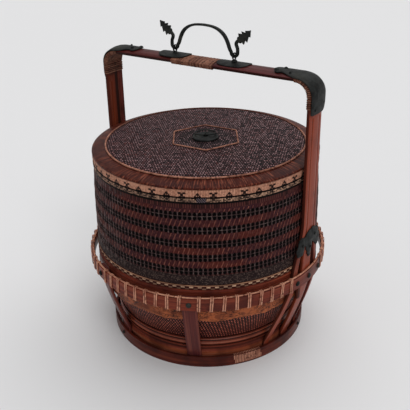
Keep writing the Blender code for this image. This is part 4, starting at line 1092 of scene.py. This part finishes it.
def domes(name, places, finish, replaced, sides=12, rings=4):
    """Forged nail heads. Each place is (point, normal, radius, rise)."""
    points, faces, wraps = [], [], []
    for point, normal, radius, height in places:
        point, normal = Vector(point), Vector(normal).normalized()
        across = normal.orthogonal().normalized()
        beside = normal.cross(across)
        start = len(points)
        for ring in range(rings):
            lift = math.sin(math.pi / 2 * ring / rings)
            reach = math.cos(math.pi / 2 * ring / rings)
            for side in range(sides):
                turn = TURN * side / sides
                out = across * math.cos(turn) + beside * math.sin(turn)
                points.append(point + out * (radius * reach) + normal * (height * lift))
        made, corners = grid_faces(rings, sides, False, start)
        faces += made
        wraps += [(column / sides, row / rings) for row, column in corners]
        points.append(point + normal * height)
        last = start + (rings - 1) * sides
        faces += [[last + side, last + (side + 1) % sides, len(points) - 1] for side in range(sides)]
        wraps += [(0.0, 1.0)] * (3 * sides)
        faces.append(list(range(start, start + sides)))
        wraps += [(0.0, 0.0)] * sides
    return piece_from(name, points, faces, finish, replaced, wraps=wraps)


def dressed(node, finish, body="stand", levels=1, crease=0.0):
    """A rounder copy of a node: its triangles become quads, which are subdivided with firm edges."""
    work = bmesh.new()
    work.from_mesh(NODES[node].data)
    bmesh.ops.remove_doubles(work, verts=work.verts, dist=WELD)
    bmesh.ops.join_triangles(
        work, faces=work.faces,
        angle_face_threshold=math.radians(FLAT_DEG), angle_shape_threshold=math.radians(SHAPE_DEG)
    )
    work.verts.ensure_lookup_table()
    points = [vert.co.copy() for vert in work.verts]
    faces = [[vert.index for vert in face.verts] for face in work.faces]
    work.free()
    made = piece_from(node + "_look", points, faces, finish, body=body, sharp_deg=180.0)
    firm = bmesh.new()
    firm.from_mesh(made.data)
    layer = firm.edges.layers.float.new("crease_edge")
    for edge in firm.edges:
        if edge.calc_face_angle(0.0) > math.radians(FIRM_DEG):
            edge[layer] = crease
    firm.to_mesh(made.data)
    firm.free()
    rounded(made, levels)


def drum_radius(z):
    """The drum's outer radius: a table of (height, taper) pairs, with straight steps between them."""
    height = (z - DRUM_LOW) / (DRUM_TOP - DRUM_LOW)
    taper = DRUM_TAPER_SHARES[-1][1]
    for (start, first), (end, last) in zip(DRUM_TAPER_SHARES, DRUM_TAPER_SHARES[1:]):
        if height <= end:
            taper = mix(first, last, (height - start) / (end - start))
            break
    return BODY_RADIUS - (BODY_RADIUS - LID_RADIUS) * taper


def drum_relief(turn, z):
    hole, net, thread, stroke = drum_pattern(turn, z)
    rib = 0.5 + 0.5 * wave(turn * STAKES)
    height = 0.6 + 0.3 * stroke + 0.1 * rib + 0.2 * thread - 0.1 * net
    return -WEAVE_RELIEF * (1.0 - height * (1.0 - hole))


def make_drum():
    heights = (DRUM_LOW, mix(DRUM_LOW, DRUM_TOP, 0.5), DRUM_TOP)
    outline = [(drum_radius(z) - BODY_WALL, z) for z in heights]
    for row in range(DRUM_ROWS + 1):
        z = mix(DRUM_TOP, DRUM_LOW, row / DRUM_ROWS)
        outline.append((drum_radius(z), z))
    relief_rows = range(len(heights), len(outline))
    steps = STAKES * STEPS_PER_STAKE
    lathe("drum_weave", outline, "drum", ["tier_wall"], "tier", steps, drum_relief, relief_rows)


def bowl_relief(turn, z):
    row = z / BOWL_ROW
    knot = wave(turn * BOWL_STAKES + whole(row) * BOWL_LEAN - 0.25) * size(wave(row * 0.5))
    return -BOWL_RELIEF * (1.0 - knot)


def make_bowl():
    low, high = low_of("lower_tier_wall"), top_of("lower_tier_wall")
    foot, brim = BASE_RADIUS - BOWL_INSET, radius_of("lower_tier_wall")
    run = rope_of([(mix(foot, brim, out), mix(low, high, up)) for up, out in BOWL_OUTLINE_SHARES], 8)
    inner = [(radius - BOWL_WALL, z) for radius, z in run[::6]]
    outline = inner + list(reversed(run))
    relief_rows = range(len(inner), len(outline))
    steps = BOWL_STAKES * STEPS_PER_BOWL_STAKE
    lathe("bowl_weave", outline, "bowl", ["lower_tier_wall"], "stand", steps, bowl_relief, relief_rows)


def make_bands():
    """The plain hoops and bands: (node, finish, body, wall, bulge in millimetres)."""
    bands = (
        ("foot_hoop", "foot_hoop", "stand", FOOT_WALL, 0.5),
        ("base_hoop_lower", "base_hoop", "stand", BASE_WALL, 1.4),
        ("base_hoop_upper", "base_hoop", "stand", BASE_WALL, 1.6),
        ("cradle_hoop", "hoop", "stand", CRADLE_WALL, 0.4),
        ("lower_tier_rim", "hoop", "stand", BODY_WALL, 0.5),
        ("lower_tier_collar", "inside", "stand", COLLAR_WALL, 0.0),
        ("tier_foot_rim", "hoop", "tier", BODY_WALL, 1.0),
        ("tier_border", "dash_border", "tier", BODY_WALL, 0.2),
        ("tier_top_rim", "grey_border", "tier", BODY_WALL, 0.5),
        ("tier_inner_collar", "inside", "tier", COLLAR_WALL, 0.0),
        ("lid_border_band", "light_border", "lid", BAND_WALL, 0.6),
    )
    for node, finish, body, wall, bulge in bands:
        low, high = low_of(node), top_of(node)
        rolls = BASE_ROLL_SHARES.get(node, ())
        outline = band_outline(radius_of(node), wall, low, high, BAND_EDGE, bulge * MM, rolls)
        lathe(node + "_look", outline, finish, body=body)


def make_floors():
    for node in ("lower_tier_floor", "tier_floor"):
        NODES[node].data.materials.clear()
        NODES[node].data.materials.append(FINISH["lid"][0])


def make_shoulder():
    low, high = low_of("lid_shoulder"), top_of("lid_shoulder")
    under = high - 2.8 * MM
    outer = [
        (LID_RADIUS, low), (LID_RADIUS, low + 1.2 * MM), (LID_RADIUS - 1.0 * MM, low + 2.4 * MM),
        (mix(LID_RADIUS, SHOULDER_INNER, 0.45), mix(low, high, 0.76)), (SHOULDER_INNER, high),
    ]
    inner = [
        (SHOULDER_INNER, under), (SHOULDER_LEDGE, under), (SHOULDER_LEDGE, under - 1.7 * MM),
        (mix(LID_RADIUS, SHOULDER_INNER, 0.55), low),
    ]
    lathe("lid_shoulder_look", rope_of(outer, 5) + inner, "shoulder", body="lid")


def make_panel():
    edge = SHOULDER_INNER - CLEARANCE
    low, top = low_of("lid_panel"), top_of("lid_panel")
    flat = edge - 6.5 * MM
    run = rope_of([(edge, low), (edge, top - 2.4 * MM), (edge - 3.0 * MM, top - 0.8 * MM), (flat, top)], 4)
    run += [(mix(flat, PANEL_HOLE, (ring + 1) / PANEL_RINGS), top) for ring in range(PANEL_RINGS)]
    run += [(PANEL_HOLE, top - 2.6 * MM), (edge - 6.0 * MM, low)]
    lathe("lid_panel_look", run, "lid", body="lid")


def make_lid_canes():
    """The cane round the lid's rim, and the hexagon, whose corners turn in a few short steps."""
    z = top_of("lid_rim_cane") - RIM_CANE_HALF
    radius = SHOULDER_INNER - CLEARANCE / 2
    path = [polar(radius, 360.0 * step / ROUND_STEPS, z) for step in range(ROUND_STEPS)]
    halves = (RIM_CANE_HALF, RIM_CANE_HALF)
    part = {"path": path, "normals": ABOVE, "halves": halves, "closed": True}
    rods("lid_rim_cane_look", [part], "rim_cane", body="lid")
    z = top_of("lid_hexagon_cane") - HEXAGON_CANE_HALF
    path = []
    for corner in range(6):
        here = Vector(polar(HEXAGON_RADIUS, HEXAGON_TURN_DEG + 60.0 * corner, z))
        for share in HEXAGON_CORNER_SHARES:
            toward = corner + (1 if share > 0 else -1)
            near = Vector(polar(HEXAGON_RADIUS, HEXAGON_TURN_DEG + 60.0 * toward, z))
            path.append(here.lerp(near, abs(share)))
    halves = (HEXAGON_CANE_HALF * 1.15, HEXAGON_CANE_HALF)
    part = {"path": path, "normals": ABOVE, "halves": halves, "closed": True}
    rods("lid_hexagon_cane_look", [part], "rim_cane", body="lid")


def petals(turn, z):
    return PETAL_DEPTH * (size(wave(turn * PETALS / 2)) - 1.0)


def make_rosette():
    low, high = low_of("lid_rosette"), top_of("lid_rosette")
    rim, top = ROSETTE_RADIUS, high - 1.2 * MM
    run = rope_of([
        (rim, low), (rim, top + 0.5 * MM), (rim - 1.2 * MM, high - 0.2 * MM), (rim - 2.4 * MM, high),
        (rim - 4.0 * MM, top + 0.5 * MM), (rim * 0.68, top), (rim * 0.42, top + 0.1 * MM),
        (rim * 0.30, high - 0.2 * MM), (3.4 * MM, high),
    ], 3)
    outline = run + [(PANEL_HOLE, low)]
    relief_rows = range(len(run) // 3)
    lathe("lid_rosette_look", outline, "iron", None, "lid", ROSETTE_STEPS, petals, relief_rows)


def strap_radius(z, ring_radius, foot_radius):
    low = FOOT_HEIGHT + STRAP_THICKNESS
    return mix(ring_radius, foot_radius, held((CRADLE_Z - z) / (CRADLE_Z - low)) ** STRAP_BEND)


def strap_station(z, degrees, half, thickness, radii, sign=1.0):
    """A station of a strap, square to its run. radii are its middle's at the hoop and at the foot."""
    step = thickness / 10
    climb = strap_radius(z + step, *radii) - strap_radius(z - step, *radii)
    tilt = math.atan2(climb, 2 * step)
    middle = strap_radius(z, *radii)
    out, down = thickness / 2 * math.cos(tilt), thickness / 2 * math.sin(tilt)

    def station(share, depth):
        radius = mix(middle + out, middle - out, depth)
        height = mix(z - down, z + down, depth)
        return mirrored(polar(radius, degrees + share * math.degrees(half / radius), height), sign)

    return station


def strip_section(half, wall):
    """The outline of a split strip: (share of the half width, share of the wall), its skin side first."""
    inset, deep = min(STRIP_EDGE / half, 0.4), min(STRIP_EDGE / wall, 0.4)
    skin = [(share * (1 - inset), 0.0) for share in SKIN_SHARES]
    back = [(-share, 1.0) for share, _ in skin]
    near = 1.0 - inset * 0.3
    turn = [(near, deep * 0.3), (1.0, deep), (1.0, 1.0 - deep), (near, 1.0 - deep * 0.3)]
    return skin + turn + back + [(-share, depth) for share, depth in reversed(turn)]


def strip(name, stations, half, wall, finish, replaced=None, middle=0.0, side=1.0):
    """A strip lofted through stations. A station is a function of (share across, share of the wall)."""
    section = strip_section(half, wall)
    rows, count = len(stations), len(section)
    points = [station(share, depth) for station in stations for share, depth in section]
    faces, corners = grid_faces(rows, count, False)
    lengths = [0.0]
    for k in range(1, rows):
        span = Vector(points[k * count + 2]) - Vector(points[(k - 1) * count + 2])
        lengths.append(lengths[-1] + span.length)
    wraps = [(side * (middle + section[column % count][0] * half), lengths[row]) for row, column in corners]
    close_ends(faces, wraps, rows, count)
    return piece_from(name, points, faces, finish, replaced, wraps=wraps)


def make_straps():
    names = ("strap_front", "strap_front_left", "strap_rear", "strap_rear_right")
    places = [*STRAP_DEG, *(degrees + 180.0 for degrees in STRAP_DEG)]
    radii = (STRAP_RING_RADIUS, STRAP_FOOT_RADIUS)
    for name, degrees in zip(names, places):
        heights = [mix(CRADLE_TOP, STRAP_LIFT, step / STRAP_STEPS) for step in range(STRAP_STEPS + 1)]
        stations = [strap_station(z, degrees, STRAP_WIDTH / 2, STRAP_THICKNESS, radii) for z in heights]
        strip(name + "_look", stations, STRAP_WIDTH / 2, STRAP_THICKNESS, "strap")


def tongue_centre(which, z):
    """Degrees from the post's middle, and half width, of one tongue at a height."""
    aside = (MIDDLE_TONGUE + SIDE_TONGUE) / 2 + KERF
    straight = (-aside, 0.0, aside)[which]
    width = (SIDE_TONGUE, MIDDLE_TONGUE, SIDE_TONGUE)[which]
    spread = smooth((SPLAY_TOP - z) / (SPLAY_TOP - NAIL_Z))
    degrees = mix(math.degrees(straight / POST_OUTER), RING_TONGUE_DEG[which], spread)
    width *= mix(1.0, RING_TONGUE_SHARES[which], spread)
    down = held((NAIL_Z - z) / NAIL_Z)
    degrees = mix(degrees, FOOT_TONGUE_DEG[which], down)
    width *= mix(1.0, FOOT_TONGUE_SHARES[which] / RING_TONGUE_SHARES[which], down)
    return degrees, width / 2


def on_post(z, arc=POST_ARC):
    """(place, normal, arc) on the culm's outer face, here on the post. arc is its section's radius."""
    return (POST_OUTER, z), (1.0, 0.0), arc


def on_bend(turn):
    """The same on the corner, from 0 at the post to 1 at the bar."""
    angle = math.pi / 2 * turn
    out = (math.cos(angle), math.sin(angle))
    arc = 1 / mix(1 / POST_ARC, 1 / BAR_ARC, smooth(turn))
    return (CORNER_X + CORNER_RADIUS * out[0], CORNER_Z + CORNER_RADIUS * out[1]), out, arc


def on_bar(x):
    return (x, HANDLE_HEIGHT), (0.0, 1.0), BAR_ARC


def section_point(spot, across, depth):
    """A point of the culm's arched section. across runs along the outer face, depth goes in."""
    place, normal, arc = spot
    turn = across / arc
    out = (arc - depth) * math.cos(turn) - arc
    return (place[0] + normal[0] * out, (arc - depth) * math.sin(turn), place[1] + normal[1] * out)


def post_arc(z):
    return 1 / mix(1 / POST_OUTER, 1 / POST_ARC, smooth((z - SPLAY_TOP) / (KERF_TOP - SPLAY_TOP)))


def lower_station(which, z, sign):
    """A station of a tongue below the splay, where it lies round the basket like a strap."""
    blend = smooth((z - BASE_UPPER_TOP) / (CRADLE_Z - BASE_UPPER_TOP))
    thickness = mix(STRAP_THICKNESS, POST_WALL, blend)
    radii = (POST_OUTER - thickness / 2, STRAP_FOOT_RADIUS + (thickness - STRAP_THICKNESS) / 2)
    degrees, half = tongue_centre(which, z)
    return strap_station(z, degrees, half, thickness, radii, sign)


def arched_station(spot, first, last, sign, outer=0.0, inner=POST_WALL):
    """A station that follows the culm's section, between two places across it and two depths."""
    def station(share, depth):
        point = section_point(spot, mix(first, last, (share + 1) / 2), mix(outer, inner, depth))
        return mirrored(point, sign)

    return station


def make_culm():
    """The handle: three tongues each side, and above them the whole culm, bent over both corners."""
    middle = MIDDLE_TONGUE / 2
    spans = ((-HALF_CULM, -middle - KERF), (-middle, middle), (middle + KERF, HALF_CULM))
    made = []
    for side, sign in SIDES:
        for which, (first, last) in enumerate(spans):
            heights = [mix(STRAP_LIFT, SPLAY_TOP, step / TONGUE_STEPS) for step in range(TONGUE_STEPS)]
            stations = [lower_station(which, z, sign) for z in heights]
            for step in range(KERF_STEPS + 1):
                z = mix(SPLAY_TOP, KERF_TOP, step / KERF_STEPS)
                stations.append(arched_station(on_post(z, post_arc(z)), first, last, sign))
            name = f"tongue_{side}_{which + 1}"
            half = (last - first) / 2
            made.append(strip(name, stations, half, POST_WALL, "culm", (), (first + last) / 2, sign))
    spots = [on_post(mix(KERF_TOP, CORNER_Z, step / POST_STEPS)) for step in range(POST_STEPS)]
    spots += [on_bend(step / BEND_STEPS) for step in range(BEND_STEPS + 1)]
    spots += [on_bar(mix(CORNER_X, 0.0, step / BAR_STEPS)) for step in range(1, BAR_STEPS)]
    stations = [arched_station(spot, -HALF_CULM, HALF_CULM, 1.0) for spot in spots]
    stations += [arched_station(spot, HALF_CULM, -HALF_CULM, -1.0) for spot in reversed(spots)]
    made.append(strip("culm_arch", stations, HALF_CULM, POST_WALL, "culm", ["handle_culm"]))
    for piece in made:
        darken_back(piece)


def darken_back(piece):
    """Gives the inward faces of a culm piece the bare bamboo's finish."""
    piece.data.materials.append(FINISH["culm_inside"][0])
    per_ring = len(strip_section(HALF_CULM, POST_WALL))
    inward = range(len(SKIN_SHARES), per_ring - 1)
    quads = len(piece.data.polygons) - 2
    for k, face in enumerate(piece.data.polygons):
        if k < quads and k % per_ring in inward:
            face.material_index = 1


def strap_places():
    half = [*STRAP_DEG, *RING_TONGUE_DEG]
    return half + [degrees + 180.0 for degrees in half]


def tie_places():
    """The degrees of each tie's middle, evenly between the straps."""
    middles = []
    places = sorted(degrees % 360.0 for degrees in strap_places())
    for k, first in enumerate(places):
        bay = (places[(k + 1) % len(places)] - first) % 360.0 - 2 * TIE_MARGIN_DEG
        steps = round(bay / TIE_PITCH_DEG)
        if steps >= LEAST_TIES:
            middles += [first + TIE_MARGIN_DEG + bay * step / steps for step in range(steps + 1)]
    return middles


def make_ties():
    """Double strands that cross the hoop's edge strip and face and turn in under it."""
    top = top_of("hoop_edge_cane") + CLEARANCE
    inner, face = CRADLE_BORE - 0.2 * MM, CRADLE_RADIUS + 0.35 * MM
    out = face + 0.3 * MM
    run = rope_of([
        (inner, top - 1.2 * MM), (inner + 0.9 * MM, top + 0.35 * MM), (face - 1.0 * MM, top + 0.4 * MM),
        (out, top - 0.8 * MM), (out, NAIL_Z), (out, CRADLE_Z + 0.8 * MM),
        (face - 0.7 * MM, CRADLE_Z - 0.55 * MM), (face - 3.0 * MM, CRADLE_Z - 0.6 * MM),
    ], 3)
    random.seed(11)
    parts = []
    for degrees in tie_places():
        lean = random.uniform(0.1, 0.5)
        for offset in (-0.5, 0.5):
            beside = math.degrees(offset * TIE_STRAND * 1.5 / CRADLE_RADIUS)
            path, normals = [], []
            for k, (radius, z) in enumerate(run):
                slide = lean * (z - NAIL_Z) / (CRADLE_TOP - CRADLE_Z)
                path.append(polar(radius, degrees + beside + slide, z))
                before, after = run[max(k - 1, 0)], run[min(k + 1, len(run) - 1)]
                normals.append(polar(before[1] - after[1], degrees, after[0] - before[0]))
            parts.append({
                "path": path, "normals": normals, "power": 0.8,
                "halves": (TIE_STRAND / 2, TIE_THICKNESS / 2), "strand": len(parts),
            })
    rods("hoop_ties", parts, "cane", ["hoop_lashing"])
    low, high = low_of("hoop_edge_cane"), top_of("hoop_edge_cane")
    outline = band_outline(radius_of("hoop_edge_cane"), EDGE_CANE_WALL, low, high, EDGE_CANE_EDGE)
    lathe("hoop_edge_cane_look", outline, "cane")


def make_apron():
    """The apron: a thin leaning band with a scalloped lower edge."""
    inside = BODY_RADIUS + APRON_GAP
    radii = (inside, inside + STRAP_FOOT_RADIUS - STRAP_RING_RADIUS)
    shares = [row / APRON_ROWS for row in range(APRON_ROWS + 1)]
    rows = [(share, 0.0) for share in shares] + [(1.0 - share, APRON_WALL) for share in shares]
    points = []
    for share, depth in rows:
        for step in range(APRON_STEPS):
            turn = step / APRON_STEPS
            lift = APRON_SCALLOP * abs(wave(turn * APRON_WAVES))
            z = APRON_TOP - (APRON_HEIGHT - lift) * share
            points.append(round_point(strap_radius(z, *radii) - depth, turn, z))
    faces, corners = grid_faces(len(rows), APRON_STEPS, True)
    heights = [points[row * APRON_STEPS][2] for row in range(len(rows))]
    wraps = [(column / APRON_STEPS, heights[row % len(rows)]) for row, column in corners]
    piece_from("apron_look", points, faces, "apron", ["lower_tier_apron"], wraps=wraps)


def make_foot_binding():
    """A close winding round the lapped ends of the foot hoop."""
    inside, outside = FOOT_RADIUS - FOOT_WALL, FOOT_RADIUS - FOOT_WINDING_INSET
    low, high = FOOT_WINDING_LOW, FOOT_HEIGHT - FOOT_WINDING_INSET
    wide, tall = (outside - inside) / 2 + FOOT_WINDING_AWAY, (high - low) / 2 + FOOT_WINDING_AWAY
    total = FOOT_WINDING_TURNS * FOOT_WINDING_STEPS
    path, normals = [], []
    for k in range(total + 1):
        turn = TURN * (k % FOOT_WINDING_STEPS) / FOOT_WINDING_STEPS
        out, up = squared(math.cos(turn), 0.35), squared(math.sin(turn), 0.35)
        degrees = mix(*FOOT_WINDING_DEG, k / total)
        path.append(polar((inside + outside) / 2 + wide * out, degrees, (low + high) / 2 + tall * up))
        normals.append(polar(out / wide, degrees, up / tall))
    part = {"path": path, "normals": normals, "halves": FOOT_WINDING_HALF, "sides": 6}
    rods("foot_binding_look", [part], "cane")


def corner_loop(spot, lift, sign):
    """One turn of cane round the culm at a spot: a ring of points with their normals."""
    normal = spot[1]
    wide = HALF_CULM + 1.0 * MM
    path, normals = [], []
    for step in range(CORNER_LOOP_STEPS):
        turn = TURN * step / CORNER_LOOP_STEPS
        across, deep = squared(math.cos(turn), 0.3), squared(math.sin(turn), 0.5)
        reach = POST_WALL / 2 + (lift if deep > 0 else CORNER_CANE * 0.45)
        path.append(mirrored(section_point(spot, across * wide, POST_WALL / 2 - deep * reach), sign))
        normals.append(mirrored((normal[0] * deep, across, normal[1] * deep), sign))
    return path, normals


def make_corner_bindings():
    """Cane turns round both corners. Under the iron mount they lie flat against the culm."""
    random.seed(8)
    spots = [(on_bend(turn), smooth(turn)) for turn in CORNER_LOOP_SHARES]
    spots += [(on_post(z), 0.0) for z in POST_LOOPS_Z]
    for side, sign in SIDES:
        parts = []
        for spot, covered in spots:
            path, normals = corner_loop(spot, mix(0.9 * MM, 0.2 * MM, covered), sign)
            halves = (random.uniform(0.85, 1.15) * MM, mix(0.85 * MM, 0.55 * MM, covered))
            parts.append({
                "path": path, "normals": normals, "halves": halves, "closed": True, "sides": 6,
                "strand": len(parts),
            })
        rods(f"corner_binding_{side}_look", parts, "dark_cane")


def make_corner_mounts():
    """The iron over each corner: a leaf-shaped end on the bar, and an end with cut corners on the post."""
    near, far = MOUNT_LIFTS
    for side, sign in SIDES:
        end_share = MOUNT_LEFT_SHARE if sign < 0 else 1.0
        places = []
        for share, wide in rope_of(MOUNT_LEAF_SHARES, 4):
            places.append((on_bar(CORNER_X - MOUNT_REACH * (1.0 - share)), wide, near))
        for step in range(1, MOUNT_STEPS + 1):
            turn = 1.0 - step / MOUNT_STEPS
            places.append((on_bend(turn), mix(end_share, 1.0, turn), mix(far, near, smooth(turn))))
        for share, wide in MOUNT_END_SHARES:
            z = mix(CORNER_Z, MOUNT_END_Z, share)
            places.append((on_post(z), wide * end_share, mix(far, near, smooth((share - 0.6) / 0.4))))
        stations = []
        for spot, wide, lift in places:
            reach = MOUNT_HALF * wide
            stations.append(arched_station(spot, -reach, reach, sign, -lift - MOUNT_THICKNESS, -lift))
        strip(f"corner_mount_{side}_look", stations, MOUNT_HALF, MOUNT_THICKNESS, "iron")


def make_grip():
    """The winding on the bar, as a sleeve with one rib for each turn of cane."""
    low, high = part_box("grip_binding")
    ribs = round((high.x - low.x) / GRIP_PITCH)
    random.seed(5)
    swells = [random.uniform(0.75, 1.0) for _ in range(ribs)]
    total = ribs * GRIP_STEPS_PER_RIB
    points = []
    for k in range(total + 1):
        spot = on_bar(mix(low.x, high.x, k / total))
        swell = swells[min(k // GRIP_STEPS_PER_RIB, ribs - 1)]
        thick = GRIP_RIB * mix(0.35, swell, abs(math.sin(math.pi * k / GRIP_STEPS_PER_RIB)))
        wide = HALF_CULM + CLEARANCE + thick
        loop = [(share * wide, -CLEARANCE - thick) for share in GRIP_FLAT_SHARES]
        loop += [(wide, POST_WALL / 2 * share) for share in GRIP_EDGE_SHARES]
        loop += [(-share * wide, POST_WALL + CLEARANCE + thick) for share in GRIP_FLAT_SHARES]
        loop += [(-wide, POST_WALL / 2 * share) for share in reversed(GRIP_EDGE_SHARES)]
        points += [section_point(spot, across, depth) for across, depth in loop]
    faces, corners = grid_faces(total + 1, len(loop), False)
    wraps = [
        (row / GRIP_STEPS_PER_RIB % 1.0, row // GRIP_STEPS_PER_RIB + column * 2.0 * MM)
        for row, column in corners
    ]
    close_ends(faces, wraps, total + 1, len(loop))
    piece_from("grip_binding_look", points, faces, "dark_cane", wraps=wraps)


def make_bail():
    """The swinging bail: a flat arch, two loops through the eyes and two curls with toothed leaves."""
    rod = BAIL_HALF_ROD
    half = [
        (EYE_X * across, EYE_Z + BAIL_RISE * up, rod * wide, rod * thick)
        for across, up, wide, thick in BAIL_ARCH_SHARES
    ]
    for step in range(BAIL_BEND_STEPS + 1):
        turn = math.pi * (1 + step / BAIL_BEND_STEPS)
        half.append((EYE_X + BAIL_BEND * math.cos(turn), EYE_Z + BAIL_BEND * (1 + math.sin(turn)), rod, rod))
    for across, up, wide in BAIL_CURL_SHARES:
        half.append((EYE_X * across, EYE_Z + BAIL_RISE * up, rod * wide, rod * 0.9))
    run = rope_of(half, 4)
    blade = rope_of([(EYE_X * across, EYE_Z + BAIL_RISE * up) for across, up in BAIL_LEAF_SHARES], 8)
    for k, (x, z) in enumerate(blade[1:]):
        share = (k + 1) / (len(blade) - 1)
        swell = math.sin(math.pi * share ** 0.7) ** 0.7 if share < 1 else 0.12
        tooth = 1.0 - LEAF_TOOTH * fract(share * LEAF_TEETH + 0.15)
        wide = max(LEAF_HALF * swell * tooth, rod * 0.3)
        run.append((x, z, wide, mix(rod * 0.8, LEAF_HALF_THICKNESS, min(share * 3, 1.0))))
    full = [(-x, z, wide, thick) for x, z, wide, thick in reversed(run[1:])] + run
    part = {
        "path": [(x, 0.0, z) for x, z, _, _ in full], "normals": (0.0, 1.0, 0.0),
        "halves": [(wide, thick) for _, _, wide, thick in full], "sides": 10, "power": 0.75,
    }
    rods("bail_look", [part], "iron", body="bail")


def round_nail(radius, degrees, z, head):
    """A nail head that faces straight out from the basket's axis."""
    return (polar(radius, degrees, z), polar(1.0, degrees, 0.0), *head)


def culm_nail(spot, across, lift, radius, height):
    """A nail head square to the culm's arched face. Its sizes are in millimetres."""
    _, normal, arc = spot
    point = section_point(spot, across * MM, -lift * MM)
    return (point, (normal[0], math.sin(across * MM / arc), normal[1]), radius * MM, height * MM)


def make_nails():
    hoop = [round_nail(CRADLE_RADIUS + 0.2 * MM, degrees, NAIL_Z, HOOP_NAIL) for degrees in strap_places()]
    domes("hoop_nails", hoop, "iron", [f"hoop_nail_{k + 1}" for k in range(len(hoop))])
    right = [culm_nail(on_bar(x * MM), *rest) for x, *rest in BAR_NAILS_MM]
    right += [culm_nail(on_post(z * MM), *rest) for z, *rest in POST_NAILS_MM]
    right.append(culm_nail(on_bar(EYE_X), *EYE_FOOT_MM))
    face = POST_OUTER + CLOUD_THICKNESS + CLOUD_BULGE
    for across, z in CLOUD_NAILS_MM:
        right.append(round_nail(face, math.degrees(across * MM / POST_OUTER), z * MM, CLOUD_NAIL))
    for degrees in (STRAP_DEG[1], FOOT_TONGUE_DEG[2]):
        right.append(round_nail(FOOT_RADIUS, degrees, FOOT_NAIL_Z, FOOT_NAIL))
    small = [
        (mirrored(point, sign), mirrored(normal, sign), *head)
        for _, sign in SIDES for point, normal, *head in right
    ]
    domes("mount_nails", small, "iron", ())


def cloud_depth(across, z):
    """How far a place is inside the cloud plate's outline."""
    return max(lobe * MM - math.hypot(across - x * MM, z - up * MM) for x, up, lobe in CLOUD_LOBES_MM)


def make_cloud_mounts():
    """The iron plate of cloud outline over the three tongues, domed toward its middle."""
    seat = POST_OUTER + CLEARANCE
    cells = sorted(
        (column, row) for column in CLOUD_COLUMNS for row in CLOUD_ROWS
        if cloud_depth((column + 0.5) * CLOUD_CELL, CLOUD_LOW + (row + 0.5) * CLOUD_CELL) > 0.0
    )
    corners = sorted({(c + i, r + j) for c, r in cells for i in (0, 1) for j in (0, 1)})
    order = {corner: place for place, corner in enumerate(corners)}
    count = len(corners)
    outer, inner = [], []
    for column, row in corners:
        across, z = column * CLOUD_CELL, CLOUD_LOW + row * CLOUD_CELL
        dome = CLOUD_THICKNESS + CLOUD_BULGE * smooth(cloud_depth(across, z) / CLOUD_BULGE_EDGE)
        outer.append(polar(seat + dome, math.degrees(across / seat), z))
        inner.append(polar(seat, math.degrees(across / seat), z))
    faces = []
    for c, r in cells:
        ring = [order[(c, r)], order[(c + 1, r)], order[(c + 1, r + 1)], order[(c, r + 1)]]
        faces.append(ring)
        faces.append([count + k for k in reversed(ring)])
        for k, beyond in enumerate(((c, r - 1), (c + 1, r), (c, r + 1), (c - 1, r))):
            if beyond not in cells:
                first, last = ring[k], ring[(k + 1) % 4]
                faces.append([last, first, count + first, count + last])
    for side, sign in SIDES:
        points = [mirrored(point, sign) for point in outer + inner]
        rounded(piece_from(f"cloud_mount_{side}_look", points, faces, "iron"), 1)


def make_iron():
    for side in ("left", "right"):
        dressed("bail_plate_" + side, "iron", levels=2, crease=0.55)
        dressed("bail_eye_" + side, "iron")
        dressed("tongue_wedge_" + side, "culm_inside", crease=0.9)
    dressed("drop_ring", "iron", "drop_ring")
    dressed("lid_staple", "iron", "lid")
    make_cloud_mounts()
    make_bail()
    make_nails()
    make_rosette()


def make_floor():
    work = bmesh.new()
    bmesh.ops.create_grid(work, x_segments=8, y_segments=8, size=FLOOR_HALF)
    mesh = bpy.data.meshes.new("studio_floor")
    work.to_mesh(mesh)
    work.free()
    mesh.materials.append(floor_finish())
    shown("studio_floor", mesh)


def camera_turn():
    return Matrix.Rotation(math.radians(CAMERA_TURN_DEG), 4, "Z")


def make_lights():
    world = bpy.data.worlds.new("studio_world")
    world.use_nodes = True
    tree = world.node_tree
    background = tree.nodes["Background"]
    background.inputs["Color"].default_value = (1.0, 1.0, 1.0, 1.0)
    seen = Field(tree, tree.nodes.new("ShaderNodeLightPath").outputs["Is Camera Ray"])
    tree.links.new(mix(WORLD_LIGHT, BACKDROP_LIGHT, seen).socket, background.inputs["Strength"])
    bpy.context.scene.world = world
    for name, place, strength, spread_deg in SUNS:
        data = bpy.data.lights.new(name, "SUN")
        data.energy = strength
        data.angle = math.radians(spread_deg)
        toward = camera_turn() @ Vector(place)
        shown(name, data).rotation_euler = toward.to_track_quat("Z", "Y").to_euler()


def make_camera():
    """The photograph's view: pitched down, rolled a little, and turned about the basket."""
    pitch, roll = CAMERA_PITCH, CAMERA_ROLL
    ahead = Vector((0.0, math.cos(pitch), -math.sin(pitch)))
    level = Vector((1.0, 0.0, 0.0))
    above = Vector((0.0, math.sin(pitch), math.cos(pitch)))
    right = level * math.cos(roll) + above * math.sin(roll)
    up = above * math.cos(roll) - level * math.sin(roll)
    axes = Matrix((right, up, -ahead)).transposed().to_4x4()
    axes.translation = Vector(CAMERA_PLACE)
    data = bpy.data.cameras.new("camera")
    data.sensor_width = SENSOR
    data.lens = FOCAL_PIXELS / IMAGE_PIXELS * SENSOR
    made = shown("camera", data)
    made.matrix_world = camera_turn() @ axes
    bpy.context.scene.camera = made


make_camera()
make_lights()
make_floor()
make_drum()
make_bowl()
make_bands()
make_floors()
make_shoulder()
make_panel()
make_lid_canes()
make_straps()
make_culm()
make_ties()
make_apron()
make_foot_binding()
make_corner_bindings()
make_corner_mounts()
make_grip()
make_iron()

bpy.context.scene.view_settings.view_transform = "Standard"
